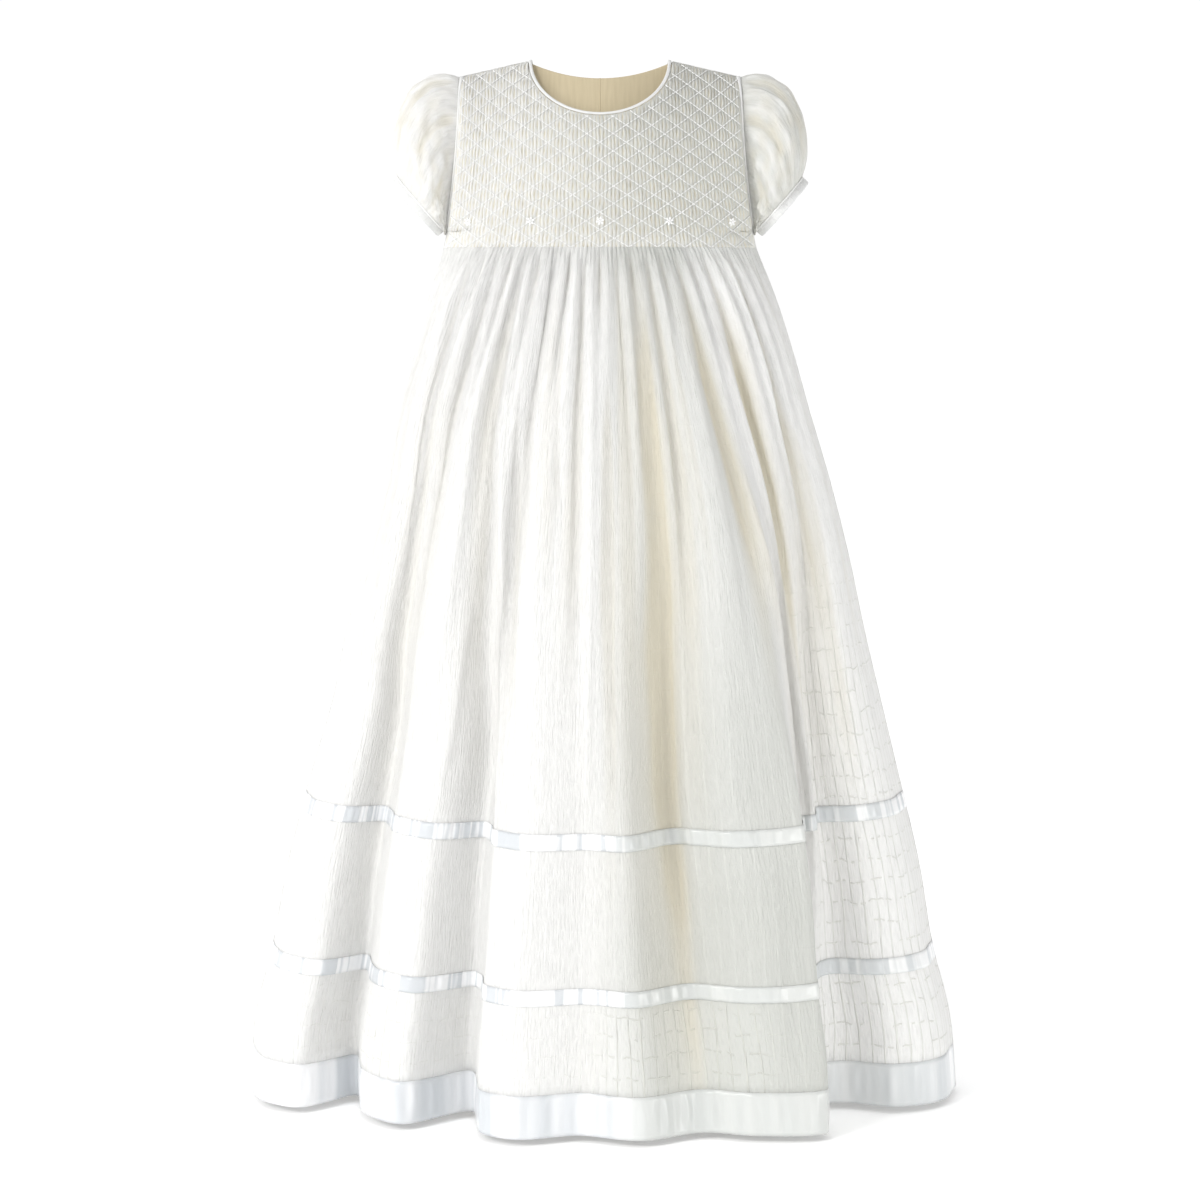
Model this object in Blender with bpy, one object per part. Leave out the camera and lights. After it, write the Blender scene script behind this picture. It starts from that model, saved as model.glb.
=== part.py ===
# A short-sleeved christening gown with a smocked bodice, worn by a limbless child's dress form on a pole and
# a round base. Lengths are in metres. X runs to the right in the front view, Y to the back and Z up. The
# origin is under the middle of the base, on the floor.
import math

import bmesh
import bpy
import numpy as np

# Cloth
CLOTH = 0.0016  # thickness of a cloth wall
TRIM = 0.0012  # thickness of a ribbon
SEAM = 0.0003  # gap between two pieces at a seam
HALF_SEAM = SEAM / 2
CREASE = math.radians(40)  # an edge that turns by more than this is shaded crisp

# Bodice
SMOCKING_FOOT = 0.6375  # height where the smocking ends and the skirt springs from it
ROW = 0.00625  # half the height of a smocked diamond
HALF_COLUMNS = 12  # half diamonds from the middle of the front to an armhole
FAN = math.radians(38.8)  # turn over which the columns are spread, so they close up towards the sides
RELIEF = 0.0013  # height of the smocking over its plain inside
CHEST = 0.073  # from the shoulder line forward to the chest, and back to the shoulder blades
NECK_HALF = 0.053  # middle to neck point
NECK_TOP = 0.775  # height of the neck points
FRONT_NECK_DROP = 0.0426
BACK_NECK_DROP = 0.018
SHOULDER_SLOPE = 0.24  # fall of the shoulder for each metre outward
SHOULDER_ROUND = 0.025  # radius that rounds the shoulder line over at the middle
SHOULDER_FALL = 0.09  # height over which the chest curves back to the shoulder line
SHOULDER_CURVE = 0.7  # how quickly it curves back: less is rounder
SHOULDER_HALF = 0.1035  # middle to the shoulder point
UNDERARM_FLARE = 0.0125  # extra half width where the smocking ends
ARMHOLE_TOP = 0.7635
ARMHOLE_FOOT = 0.650
ARMHOLE_DEEP = 0.028  # half the depth of the armhole, front to back

YOKE_COLUMNS = (0, 2, 4, 5, 6, 8, 10, 11, 12)
YOKE_CURVE = 12  # row above which the yoke curves over the shoulder

# Skirt
SKIRT_CELLS = 48  # columns of cloth round each half of the skirt
HEM = 0.005  # height of the hem over the floor
BAND_TOP = 0.0375  # height of the seam between the skirt and its satin band
RIBBON = 0.012  # width of a ribbon
UPPER_RIBBON = 0.231  # height of the upper ribbon's top edge at the sides
LOWER_RIBBON = 0.1165
RIBBON_LIFT = 0.0005  # from the cloth to the back of a ribbon
FRONT_DIP = 0.012  # how far the full front sags under the line of the sides
EASE = 0.3  # distance under the smocking at which the columns have spread evenly round the skirt
EASE_CURVE = 0.7
UNEVEN = 0.3  # share by which gathers differ from one another
UNEVEN_TURN = 1.7  # turn from one gather's difference to the next
MIDDLE_TURN = 0.8  # where the middle folds start, so that the two halves of the skirt aren't alike
SEAM_FADE = 0.3  # how quickly the gathers die out at the side seams: less is quicker

# Sleeve
SLEEVE_COLUMNS = 32
SLEEVE_ROWS = 7
CUFF_CENTRE = (0.1330, 0.6702)  # across and up, at the seam of the cuff
CUFF_LONG = 0.0255  # half the cuff's opening, from underarm to outside
CUFF_DEEP = 0.031  # half the opening, front to back
CUFF_WIDE = 0.0065
CUFF_AXIS = (0.755, -0.656)  # across and up, the way the arm would point
CUFF_ACROSS = (0.656, 0.755)
CUFF_WALL = 0.0015
SLEEVE_GATHER = 0.0012
SLEEVE_OUT = 0.0011  # from the armhole's edge out to the sleeve's
# The sleeve's run straight out of the armhole, half way up and more at the top, and its swell there, all
# round, more at the top, and more in front and behind
HEAD_REACH = (0.0185, 0.0155)
HEAD_SWELL = (0.007, 0.001, 0.004)
CUFF_SWELL = (0.022, 0.0205)  # its swell over the cuff: half way round, and more outside
CUFF_REACH = (0.011, 0.0095)  # its run back up the arm from the cuff: half way round, and more outside

# Neck binding: its gap from the panels' edges, its width, and its section
BINDING_OUT = 0.0009
BINDING_WIDE = 0.0030
BINDING_EYE = 0.012  # height over the neck points of the point that the binding's width is turned to
BINDING_SECTION = (
    # share of the width, rise in millimetres
    (0.0, 0.5),
    (0.5, 1.1),
    (1.0, 0.5),
    (1.0, -0.7),
    (0.0, -1.1),
)

# Dress form and stand
FORM_CLEAR = 0.002  # fall of the form's shoulder line under the cloth's outside
ARM_CLEAR = 0.003  # from the cloth's edge in to the form, at the armholes
FORM_CURVE = 0.95  # how quickly the form curves back to its shoulder line
FORM_FRONT = 0.066  # from the shoulder line forward to the form's chest, and back to its shoulder blades
FORM_BACK = 0.062
FORM_DISH = 0.001  # depth of the dished neck cut at its middle, under its lowest edge
FORM_FOOT = 0.430
POLE_RADIUS = 0.009
BASE_RADIUS = 0.115
BASE_HIGH = 0.014
BASE_BEVEL = 0.004
TURNED_SIDES = 32

# Skirt outline in millimetres: height, half width to the left and right, depth in front and behind
OUTLINE = (
    # height, left, right, front, back
    (637.5, 116.0, 116.0, 73.0, 73.0),
    (600.0, 127.5, 131.0, 86.0, 88.0),
    (560.0, 139.5, 144.0, 97.0, 101.0),
    (520.0, 151.5, 155.5, 106.0, 112.0),
    (464.5, 161.0, 172.0, 117.0, 125.0),
    (410.0, 174.0, 186.0, 125.0, 136.0),
    (350.0, 191.0, 199.0, 133.0, 147.0),
    (300.0, 201.0, 211.0, 139.0, 156.0),
    (255.0, 214.5, 222.0, 146.0, 164.0),
    (170.0, 237.0, 242.0, 157.0, 176.0),
    (116.5, 247.0, 251.0, 163.0, 183.0),
    (60.0, 261.0, 265.0, 169.0, 188.0),
    (5.0, 265.0, 270.0, 174.0, 190.0),
)

# The large folds: where each ridge or valley lies along the cloth, from the left seam (-1) to the right
# seam (1), and how far across and out it stands at the knee and at the hem, as parts of the half width and
# of the depth.
KNEE = 0.255
FRONT_FOLDS = (
    # along, knee across, knee out, hem across, hem out
    (-1.00, -1.00, 0.00, -1.00, 0.00),
    (-0.88, -0.95, 0.28, -0.95, 0.28),
    (-0.77, -0.84, 0.44, -0.83, 0.41),
    (-0.66, -0.71, 0.37, -0.69, 0.19),
    (-0.57, -0.68, 0.58, -0.66, 0.48),
    (-0.46, -0.54, 0.78, -0.54, 0.71),
    (-0.34, -0.37, 0.68, -0.36, 0.48),
    (-0.22, -0.33, 0.88, -0.32, 0.87),
    (-0.12, -0.21, 1.00, -0.21, 0.98),
    (-0.02, -0.05, 0.96, -0.06, 0.91),
    (0.09, 0.08, 1.03, 0.11, 1.00),
    (0.20, 0.23, 0.80, 0.27, 0.86),
    (0.32, 0.42, 0.96, 0.43, 0.92),
    (0.43, 0.63, 0.84, 0.60, 0.87),
    (0.52, 0.645, 0.61, 0.585, 0.60),
    (0.61, 0.70, 0.61, 0.58, 0.38),
    (0.69, 0.70, 0.42, 0.66, 0.32),
    (0.79, 0.83, 0.42, 0.81, 0.40),
    (0.89, 0.94, 0.28, 0.94, 0.29),
    (1.00, 1.00, 0.00, 1.00, 0.00),
)
BACK_FOLDS = (
    # along, knee across, knee out, hem across, hem out
    (-1.00, -1.00, 0.00, -1.00, 0.00),
    (-0.88, -0.95, 0.32, -0.95, 0.34),
    (-0.76, -0.82, 0.50, -0.81, 0.54),
    (-0.64, -0.69, 0.48, -0.68, 0.36),
    (-0.52, -0.58, 0.80, -0.60, 0.82),
    (-0.40, -0.42, 0.92, -0.43, 0.97),
    (-0.28, -0.29, 0.78, -0.28, 0.66),
    (-0.16, -0.17, 0.97, -0.19, 0.96),
    (-0.04, -0.02, 1.01, -0.03, 1.00),
    (0.08, 0.12, 0.84, 0.11, 0.74),
    (0.20, 0.23, 0.97, 0.22, 0.98),
    (0.32, 0.37, 0.96, 0.38, 0.96),
    (0.44, 0.50, 0.70, 0.50, 0.58),
    (0.56, 0.62, 0.76, 0.61, 0.80),
    (0.68, 0.76, 0.62, 0.76, 0.66),
    (0.80, 0.87, 0.34, 0.86, 0.30),
    (0.90, 0.96, 0.28, 0.96, 0.30),
    (1.00, 1.00, 0.00, 1.00, 0.00),
)

# How the folds change down the skirt: distance under the smocking and, in millimetres, the swing of the
# small gathers and of the middle folds they merge into; the last column is the share of the large folds.
FOLD_GROWTH = (
    # below, gathers, middle folds, large folds
    (0.0, 0.0, 0.0, 0.0),
    (14.0, 2.0, 0.0, 0.0),
    (38.0, 2.6, 1.0, 0.02),
    (75.0, 2.1, 2.6, 0.08),
    (125.0, 1.3, 3.8, 0.22),
    (185.0, 0.6, 4.0, 0.42),
    (250.0, 0.0, 2.6, 0.66),
    (320.0, 0.0, 1.2, 0.88),
    (382.0, 0.0, 0.4, 1.0),
    (640.0, 0.0, 0.0, 1.0),
)

# Dress form: height, half width, depth in front and behind, in millimetres, below the armholes
TORSO = (
    # height, half width, front, back
    (430.0, 62.0, 38.0, 38.0),
    (434.0, 76.0, 48.0, 50.0),
    (450.0, 88.0, 57.0, 60.0),
    (485.0, 91.0, 61.0, 63.0),
    (530.0, 88.0, 65.0, 58.0),
    (585.0, 89.0, 65.0, 56.0),
    (640.0, 94.0, 66.0, 62.0),
    (670.0, 96.0, 67.0, 64.0),
)
# Rings beside the armholes: height at the middle and at the sides, in millimetres
ARM_RINGS = (
    # middle, side
    (695.0, 700.0),
    (715.0, 726.0),
    (728.0, 746.0),
    (735.0, 757.0),
)
# Rings over the shoulders up to the neck: height at the middle in millimetres, and share of the full width
NECK_RINGS = (
    # middle, share of width
    (740.0, 0.97),
    (745.5, 0.89),
    (751.0, 0.77),
    (756.5, 0.63),
    (761.2, 0.505),
)
FORM_SIDES = 32

# Centre back: buttons up the placket
PLACKET_HALF = 0.006
PLACKET_ROWS = 9
PLACKET_SHORT = 0.003  # from the placket's top up to the neckline
BUTTON_RADIUS = 0.0048
BUTTON_THICK = 0.0024
BUTTON_DOME = 0.8  # radius of a button's top, as a share of its radius at the cloth
BUTTON_HEIGHTS = (0.742, 0.702, 0.662)

CLOTH_WHITE = (0.88, 0.87, 0.83)
SATIN_WHITE = (0.86, 0.88, 0.90)
LINEN = (0.62, 0.54, 0.36)
STAND_GREY = (0.72, 0.70, 0.66)
PEARL = (0.87, 0.86, 0.83)


def clear_scene():
    """Takes every object out of the open scene."""
    for old in list(bpy.data.objects):
        bpy.data.objects.remove(old)


def finish(name, colour, rough):
    """A Principled material of one colour and roughness."""
    material = bpy.data.materials.new(name)
    material.use_nodes = True
    shader = material.node_tree.nodes["Principled BSDF"]
    shader.inputs["Base Color"].default_value = (*colour, 1.0)
    shader.inputs["Roughness"].default_value = rough
    shader.inputs["Metallic"].default_value = 0.0
    return material


def add_object(name, points, faces, material):
    """A smooth-shaded mesh object of these points and faces."""
    mesh = bpy.data.meshes.new(name)
    mesh.from_pydata([tuple(point) for point in points], [], faces)
    mesh.validate()
    mesh.shade_smooth()
    mesh.set_sharp_from_angle(angle=CREASE)
    mesh.materials.append(material)
    made = bpy.data.objects.new(name, mesh)
    bpy.context.scene.collection.objects.link(made)
    return made


# Walls


def grid_faces(rows, columns, ring=False):
    """Quads of a grid whose rows run downwards and whose columns run to the right, seen from outside."""
    faces = []
    for i in range(rows - 1):
        for j in range(columns if ring else columns - 1):
            k = (j + 1) % columns
            faces.append((i * columns + j, (i + 1) * columns + j, (i + 1) * columns + k, i * columns + k))
    return faces


def normals_of(points, faces):
    """A unit normal at each point: the mean of its faces' normals, weighted by their areas."""
    normals = np.zeros_like(points)
    for face in faces:
        corners = points[list(face)]
        area = np.cross(corners[1] - corners[0], corners[2] - corners[0])
        if len(face) == 4:
            area = area + np.cross(corners[2] - corners[0], corners[3] - corners[0])
        normals[list(face)] += area
    return unit(normals)


def unit(vectors):
    """Each vector, one long."""
    return vectors / np.maximum(np.linalg.norm(vectors, axis=-1, keepdims=True), 1e-12)


def rim_edges(faces):
    """The edges that only one face has, each in that face's direction."""
    edges = set()
    for face in faces:
        edges |= set(zip(face, face[1:] + face[:1]))
    return [edge for edge in edges if edge[::-1] not in edges]


def add_wall(name, outer, inner, faces, material):
    """A closed wall between two layers of points that share their faces, joined along the open edges."""
    count = len(outer)
    lining = [tuple(point + count for point in face[::-1]) for face in faces]
    rims = [(b, a, a + count, b + count) for a, b in sorted(rim_edges(faces))]
    return add_object(name, np.concatenate([outer, inner]), faces + lining + rims, material)


def flattened(normals, rows, axis):
    """The normals with one part taken out in some rows, so that a rim there stays in its seam's plane."""
    normals = normals.copy()
    normals[rows, axis] = 0.0
    normals[rows] = unit(normals[rows])
    return normals


def between(table, column, at):
    """A column of a table read at some values of its first column."""
    rows = np.array(sorted(table))
    return np.interp(at, rows[:, 0], rows[:, column])


# Bodice form, which the front panel, the back yoke and the dress form share


def shoulder_height(across):
    """The shoulder line: straight down from the neck, rounded at the middle."""
    reach = np.hypot(across, SHOULDER_ROUND) - math.hypot(NECK_HALF, SHOULDER_ROUND)
    return NECK_TOP - SHOULDER_SLOPE * reach


def half_width(height):
    """Middle to armhole edge at a height."""
    fall = np.clip((ARMHOLE_TOP - height) / (ARMHOLE_TOP - SMOCKING_FOOT), 0.0, None)
    return SHOULDER_HALF + UNDERARM_FLARE * fall**2.2


def armhole_depth(height):
    """Half the armhole's opening at a height: an ellipse, and nothing above or below it."""
    middle = (ARMHOLE_TOP + ARMHOLE_FOOT) / 2
    part = (height - middle) / (ARMHOLE_TOP - middle)
    return ARMHOLE_DEEP * np.sqrt(np.clip(1 - part**2, 0.0, None))


def body_depth(across, height, chest=CHEST, arm=0.0, lowered=0.0, width=None, curve=SHOULDER_CURVE):
    """How far the bodice stands out from the shoulder line: an ellipse across, curved back to the shoulder."""
    width = half_width(height) if width is None else width
    share = np.clip(np.abs(across) / width, 0.0, 1.0)
    fall = np.clip((shoulder_height(across) - lowered - height) / SHOULDER_FALL, 0.0, 1.0)
    out = chest * np.sin(math.pi / 2 * fall**curve) * np.sqrt(1 - share**2)
    return out + np.clip(armhole_depth(height) - arm, 0.0, None) * share**6


def spread(part):
    """Where a column lies across, from its part of the half: wide at the middle, close at the side."""
    return np.sin(FAN * part) / math.sin(FAN)


def neck_edge(across, drop):
    """The neckline's height: half an ellipse hung between the neck points."""
    return NECK_TOP - drop * np.sqrt(np.clip(1 - (across / NECK_HALF) ** 2, 0.0, None))


def top_edge(across, drop):
    """The top edge of the bodice: the neckline and then the shoulder line."""
    return np.where(np.abs(across) < NECK_HALF, neck_edge(across, drop), shoulder_height(across))


def bodice_grid(drop, columns):
    """Points of the bodice by column and row, and the top row of each column, which is on the top edge."""
    points, tops = {}, {}
    neck_column = HALF_COLUMNS // 2
    for j in columns:
        share = spread(j / HALF_COLUMNS)
        across = share * SHOULDER_HALF
        top = float(top_edge(across, drop)) if abs(j) != neck_column else NECK_TOP
        tops[j] = round((top - SMOCKING_FOOT) / ROW)
        for i in range(tops[j] + 1):
            height = SMOCKING_FOOT + i * ROW if i < tops[j] else top
            points[j, i] = [share * float(half_width(height)), 0.0, height]
    for side in (-1, 1):
        edge, inside = side * neck_column, side * (neck_column - 1)
        if edge in tops and inside in tops:
            for i in range(tops[inside] + 1, tops[edge] + 1):
                part = (NECK_TOP - points[edge, i][2]) / drop
                points[edge, i][0] = side * NECK_HALF * math.sqrt(max(1 - part**2, 0.0))
    return points, tops


def on_body(points, side):
    """The points moved out onto the body, to the front (-1) or back (1), just clear of the seam plane."""
    points = points.copy()
    points[:, 1] = side * np.maximum(body_depth(points[:, 0], points[:, 2]), HALF_SEAM)
    return points


def bodice_faces(index, tops, columns, crossings):
    """Triangles between neighbouring columns; each diamond's split joins the crossings of the stitches."""
    faces = []
    for a, b in zip(columns, columns[1:]):
        for i in range(min(tops[a], tops[b])):
            low_a, low_b, high_a, high_b = index[a, i], index[b, i], index[a, i + 1], index[b, i + 1]
            if crossings and (a + i) % 2:
                faces += [(high_a, low_a, high_b), (low_a, low_b, high_b)]
            else:
                faces += [(high_a, low_a, low_b), (high_a, low_b, high_b)]
        if tops[a] < tops[b]:
            faces.append((index[a, tops[a]], index[b, tops[a]], index[b, tops[a] + 1]))
        elif tops[b] < tops[a]:
            faces.append((index[a, tops[b] + 1], index[a, tops[b]], index[b, tops[b]]))
    return faces


def seam_rows(points):
    """The points that lie on the shoulder seams or side seams, in the plane between front and back."""
    return np.abs(points[:, 1]) < 2 * HALF_SEAM


# Skirt form


def through(knots, values, at):
    """A smooth curve through the knots' values: cubic spans with slopes taken from neighbouring knots."""
    slopes = np.gradient(values, knots)
    span = np.clip(np.searchsorted(knots, at, side="right") - 1, 0, len(knots) - 2)
    length = knots[span + 1] - knots[span]
    u = (at - knots[span]) / length
    start, end = values[span], values[span + 1]
    lift = slopes[span] * length * (u - 2 * u**2 + u**3) + slopes[span + 1] * length * (u**3 - u**2)
    return start + (end - start) * (3 * u**2 - 2 * u**3) + lift


def skirt_row(below, side):
    """One row of the skirt's outside, at a distance under the smocking: plain bell, gathers and folds."""
    cell = np.arange(SKIRT_CELLS + 1)
    part = 2 * cell / SKIRT_CELLS - 1
    height = SMOCKING_FOOT - below
    left, right, front, back = (between(OUTLINE, column, height * 1000) / 1000 for column in (1, 2, 3, 4))
    deep = front if side < 0 else back
    wide = np.where(part < 0, left, right)
    ease = min(below / EASE, 1.0) ** EASE_CURVE
    turn = (1 - ease) * np.arcsin(np.clip(spread(part), -1, 1)) + ease * part * math.pi / 2
    across, out = wide * np.sin(turn), deep * np.cos(turn)

    folds = np.array(FRONT_FOLDS if side < 0 else BACK_FOLDS)
    low = min(max((KNEE - height) / (KNEE - HEM), 0.0), 1.0)
    fold_across = wide * through(folds[:, 0], (1 - low) * folds[:, 1] + low * folds[:, 3], part)
    fold_out = deep * through(folds[:, 0], (1 - low) * folds[:, 2] + low * folds[:, 4], part)
    gathers, middle, large = (between(FOLD_GROWTH, column, below * 1000) for column in (1, 2, 3))
    across = (1 - large) * across + large * fold_across
    out = (1 - large) * out + large * fold_out

    uneven = 1 + UNEVEN * np.sin(UNEVEN_TURN * cell + side)
    wave = -gathers * np.cos(math.pi * cell) + middle * np.cos(math.pi / 2 * cell + MIDDLE_TURN + side)
    fade = np.sin(math.pi * np.clip(cell, 1, SKIRT_CELLS - 1) / SKIRT_CELLS) ** SEAM_FADE
    wave = wave * uneven * fade / 1000
    wave[[0, -1]] = 0.0
    across = across + wave * np.sin(turn)
    out = np.maximum(out + wave * np.cos(turn), 0.0)
    out[[0, -1]] = HALF_SEAM
    share = below / (SMOCKING_FOOT - HEM)
    sag = FRONT_DIP * math.sin(math.pi * share) * np.cos(part * math.pi / 2) ** 1.5
    return np.column_stack([across, side * out, height - sag])


def skirt_rows(distances, side):
    """Rows of the skirt's outside, from the top down, in one array of points."""
    return np.concatenate([skirt_row(below, side) for below in distances])


def below_smocking(height):
    """The distance under the smocking of a height at the side seam."""
    return SMOCKING_FOOT - height


RIBBON_TOPS = (UPPER_RIBBON, LOWER_RIBBON)
SKIRT_DISTANCES = [
    *(0.014, 0.038, 0.075, 0.125, 0.185, 0.250, 0.325),
    *(below_smocking(height) for top in RIBBON_TOPS for height in (top, top - RIBBON)),
    below_smocking(BAND_TOP),
]


def out_to_view(faces, side):
    """Front faces as they are, and back faces turned over, since their columns run the other way."""
    return faces if side < 0 else [face[::-1] for face in faces]


# Pieces of cloth


def add_front_panel(material):
    """The smocked front and the front skirt, one length of cloth; a column of diamonds opens into a gather."""
    columns = list(range(-HALF_COLUMNS, HALF_COLUMNS + 1))
    points, tops = bodice_grid(FRONT_NECK_DROP, columns)
    index = {key: place for place, key in enumerate(points)}
    plain = on_body(np.array(list(points.values())), -1)
    faces = bodice_faces(index, tops, columns, True)
    skirt = skirt_rows(SKIRT_DISTANCES, -1)
    first = len(plain)
    for cell, (a, b) in enumerate(zip(columns, columns[1:])):
        low = [first + 2 * cell + step for step in range(3)]
        near, far = index[a, 0], index[b, 0]
        faces += [(near, low[0], low[1]), (near, low[1], far), (far, low[1], low[2])]
    faces += [
        tuple(point + first for point in face) for face in grid_faces(len(SKIRT_DISTANCES), SKIRT_CELLS + 1)
    ]
    plain = np.concatenate([plain, skirt])
    normals = normals_of(plain, faces)
    normals = flattened(normals, seam_rows(plain), 1)
    hem_row = np.arange(len(plain) - SKIRT_CELLS - 1, len(plain))
    normals = flattened(normals, hem_row, 2)
    raised = plain.copy()
    for (j, i), place in index.items():
        if abs(j) < HALF_COLUMNS and i < tops[j] and (j + i) % 2:
            raised[place] += normals[place] * RELIEF
    return add_wall("front_panel", raised, plain - normals * CLOTH, faces, material)


def add_back_skirt(material):
    """The back skirt, gathered to the yoke's foot."""
    rows = skirt_rows([SEAM, *SKIRT_DISTANCES], 1)
    faces = out_to_view(grid_faces(len(SKIRT_DISTANCES) + 1, SKIRT_CELLS + 1), 1)
    normals = flattened(normals_of(rows, faces), seam_rows(rows), 1)
    ends = np.r_[0 : SKIRT_CELLS + 1, len(rows) - SKIRT_CELLS - 1 : len(rows)]
    normals = flattened(normals, ends, 2)
    return add_wall("back_skirt", rows, rows - normals * CLOTH, faces, material)


def add_back_yoke(name, sign, material):
    """One half of the plain back yoke, from the centre opening to the armhole."""
    columns = sorted(column * sign for column in YOKE_COLUMNS)
    points, tops = bodice_grid(BACK_NECK_DROP, columns)
    index = {key: place for place, key in enumerate(points)}
    flat = np.array(list(points.values()))
    flat[flat[:, 0] == 0.0, 0] = sign * HALF_SEAM
    plain = on_body(flat, 1)
    faces = out_to_view(thinned_faces(index, tops, columns), 1)
    used = sorted({point for face in faces for point in face})
    place_of = {old: new for new, old in enumerate(used)}
    faces = [tuple(place_of[point] for point in face) for face in faces]
    plain = plain[used]
    normals = flattened(normals_of(plain, faces), seam_rows(plain), 1)
    normals = flattened(normals, np.abs(plain[:, 0]) < SEAM, 0)
    normals = flattened(normals, plain[:, 2] < SMOCKING_FOOT + SEAM, 2)
    return add_wall(name, plain, plain - normals * CLOTH, faces, material)


def thinned_faces(index, tops, columns):
    """Faces of the plain yoke: every third row low down, and each row where it curves over the shoulder."""
    kept = {j: [i for i in range(tops[j]) if i >= YOKE_CURVE or i % 3 == 0] + [tops[j]] for j in columns}
    faces = []
    for a, b in zip(columns, columns[1:]):
        top = min(tops[a], tops[b]) + 1
        left, right = ([i for i in kept[j] if i <= top] for j in (a, b))
        i = k = 0
        while i < len(left) - 1 or k < len(right) - 1:
            low_a, low_b = index[a, left[i]], index[b, right[k]]
            if k == len(right) - 1 or (i < len(left) - 1 and left[i + 1] <= right[k + 1]):
                i += 1
                faces.append((index[a, left[i]], low_a, low_b))
            else:
                k += 1
                faces.append((low_a, low_b, index[b, right[k]]))
    return faces


def add_strip(name, side, top, bottom, lift, thick, material):
    """A band of satin that follows the skirt's own columns between two heights, moved out by a lift."""
    rows = skirt_rows([below_smocking(top), below_smocking(bottom)], side)
    faces = out_to_view(grid_faces(2, SKIRT_CELLS + 1), side)
    normals = flattened(normals_of(rows, faces), seam_rows(rows), 1)
    normals = flattened(normals, np.arange(len(rows)), 2)
    return add_wall(name, rows + normals * (lift + thick), rows + normals * lift, faces, material)


# Sleeves


def sleeve_rings(sign):
    """The sleeve's outside, ring by ring: cubic curves from the armhole over the puff to the cuff."""
    around = np.arange(SLEEVE_COLUMNS) * 2 * math.pi / SLEEVE_COLUMNS
    up, side = np.cos(around), -np.sin(around)
    middle = (ARMHOLE_TOP + ARMHOLE_FOOT) / 2
    height = middle + (ARMHOLE_TOP - middle) * up
    nothing = np.zeros_like(up)
    start = np.column_stack([half_width(height) + SLEEVE_OUT, ARMHOLE_DEEP * side, height])
    end = cuff_ring(0.0)
    armhole_out = np.column_stack([nothing, side, up])
    first = start + armhole_out * (HEAD_SWELL[0] + HEAD_SWELL[1] * up + HEAD_SWELL[2] * side**2)[:, None]
    first[:, 0] += HEAD_REACH[0] + HEAD_REACH[1] * up
    along = np.array([CUFF_AXIS[0], 0.0, CUFF_AXIS[1]])
    cuff_out = np.column_stack([CUFF_ACROSS[0] * up, side, CUFF_ACROSS[1] * up])
    second = end + cuff_out * (CUFF_SWELL[0] + CUFF_SWELL[1] * up)[:, None]
    second -= along * (CUFF_REACH[0] + CUFF_REACH[1] * up)[:, None]
    swing_out = unit(armhole_out + cuff_out)
    in_and_out = np.cos(math.pi * np.arange(SLEEVE_COLUMNS))
    rings = []
    for step in range(SLEEVE_ROWS + 1):
        v = step / SLEEVE_ROWS
        w = 1 - v
        ring = w**3 * start + 3 * v * w**2 * first + 3 * v**2 * w * second + v**3 * end
        gather = SLEEVE_GATHER * abs(math.sin(2 * math.pi * v)) * (0.5 + 0.5 * up)
        ring = ring + swing_out * (gather * in_and_out)[:, None]
        rings.append(ring * (sign, 1, 1))
    return rings


def cuff_ring(along):
    """A ring of the cuff's outside, some way down the arm from its seam, for the right side."""
    around = np.arange(SLEEVE_COLUMNS) * 2 * math.pi / SLEEVE_COLUMNS
    up, side = np.cos(around), -np.sin(around)
    across = CUFF_CENTRE[0] + CUFF_AXIS[0] * along + CUFF_ACROSS[0] * CUFF_LONG * up
    height = CUFF_CENTRE[1] + CUFF_AXIS[1] * along + CUFF_ACROSS[1] * CUFF_LONG * up
    return np.column_stack([across, CUFF_DEEP * side, height])


def tube_faces(rings, sign):
    """Faces of a tube of rings, turned outward on either side of the gown."""
    faces = grid_faces(rings, SLEEVE_COLUMNS, ring=True)
    return [face[::-1] for face in faces] if sign > 0 else faces


def add_sleeve(name, sign, material):
    """A short puffed sleeve, gathered at its head and at the cuff."""
    rings = np.concatenate(sleeve_rings(sign))
    faces = tube_faces(SLEEVE_ROWS + 1, sign)
    normals = flattened(normals_of(rings, faces), np.arange(SLEEVE_COLUMNS), 0)
    normals[-SLEEVE_COLUMNS:] = cuff_normals(sign)
    return add_wall(name, rings, rings - normals * CLOTH, faces, material)


def cuff_normals(sign):
    """Outward directions round the cuff, square to the arm."""
    around = np.arange(SLEEVE_COLUMNS) * 2 * math.pi / SLEEVE_COLUMNS
    up, side = np.cos(around) / CUFF_LONG, -np.sin(around) / CUFF_DEEP
    return unit(np.column_stack([CUFF_ACROSS[0] * up, side, CUFF_ACROSS[1] * up])) * (sign, 1, 1)


def add_cuff(name, sign, material):
    """The narrow band that holds the sleeve's gathers."""
    rings = np.concatenate([cuff_ring(SEAM), cuff_ring(CUFF_WIDE)]) * (sign, 1, 1)
    faces = tube_faces(2, sign)
    normals = np.concatenate([cuff_normals(sign)] * 2)
    return add_wall(name, rings, rings - normals * CUFF_WALL, faces, material)


# Neck


def neckline(drop, side, columns):
    """The panels' own edge points round the neck, from one neck point to the other, without the last."""
    points, tops = bodice_grid(drop, columns)
    edge = [points[columns[0], i] for i in range(tops[columns[0]], tops[columns[1]], -1)]
    edge += [points[j, tops[j]] for j in columns[1:-1]]
    edge += [points[columns[-1], i] for i in range(tops[columns[-2]] + 1, tops[columns[-1]])]
    return on_body(np.array(edge), side)


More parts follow.
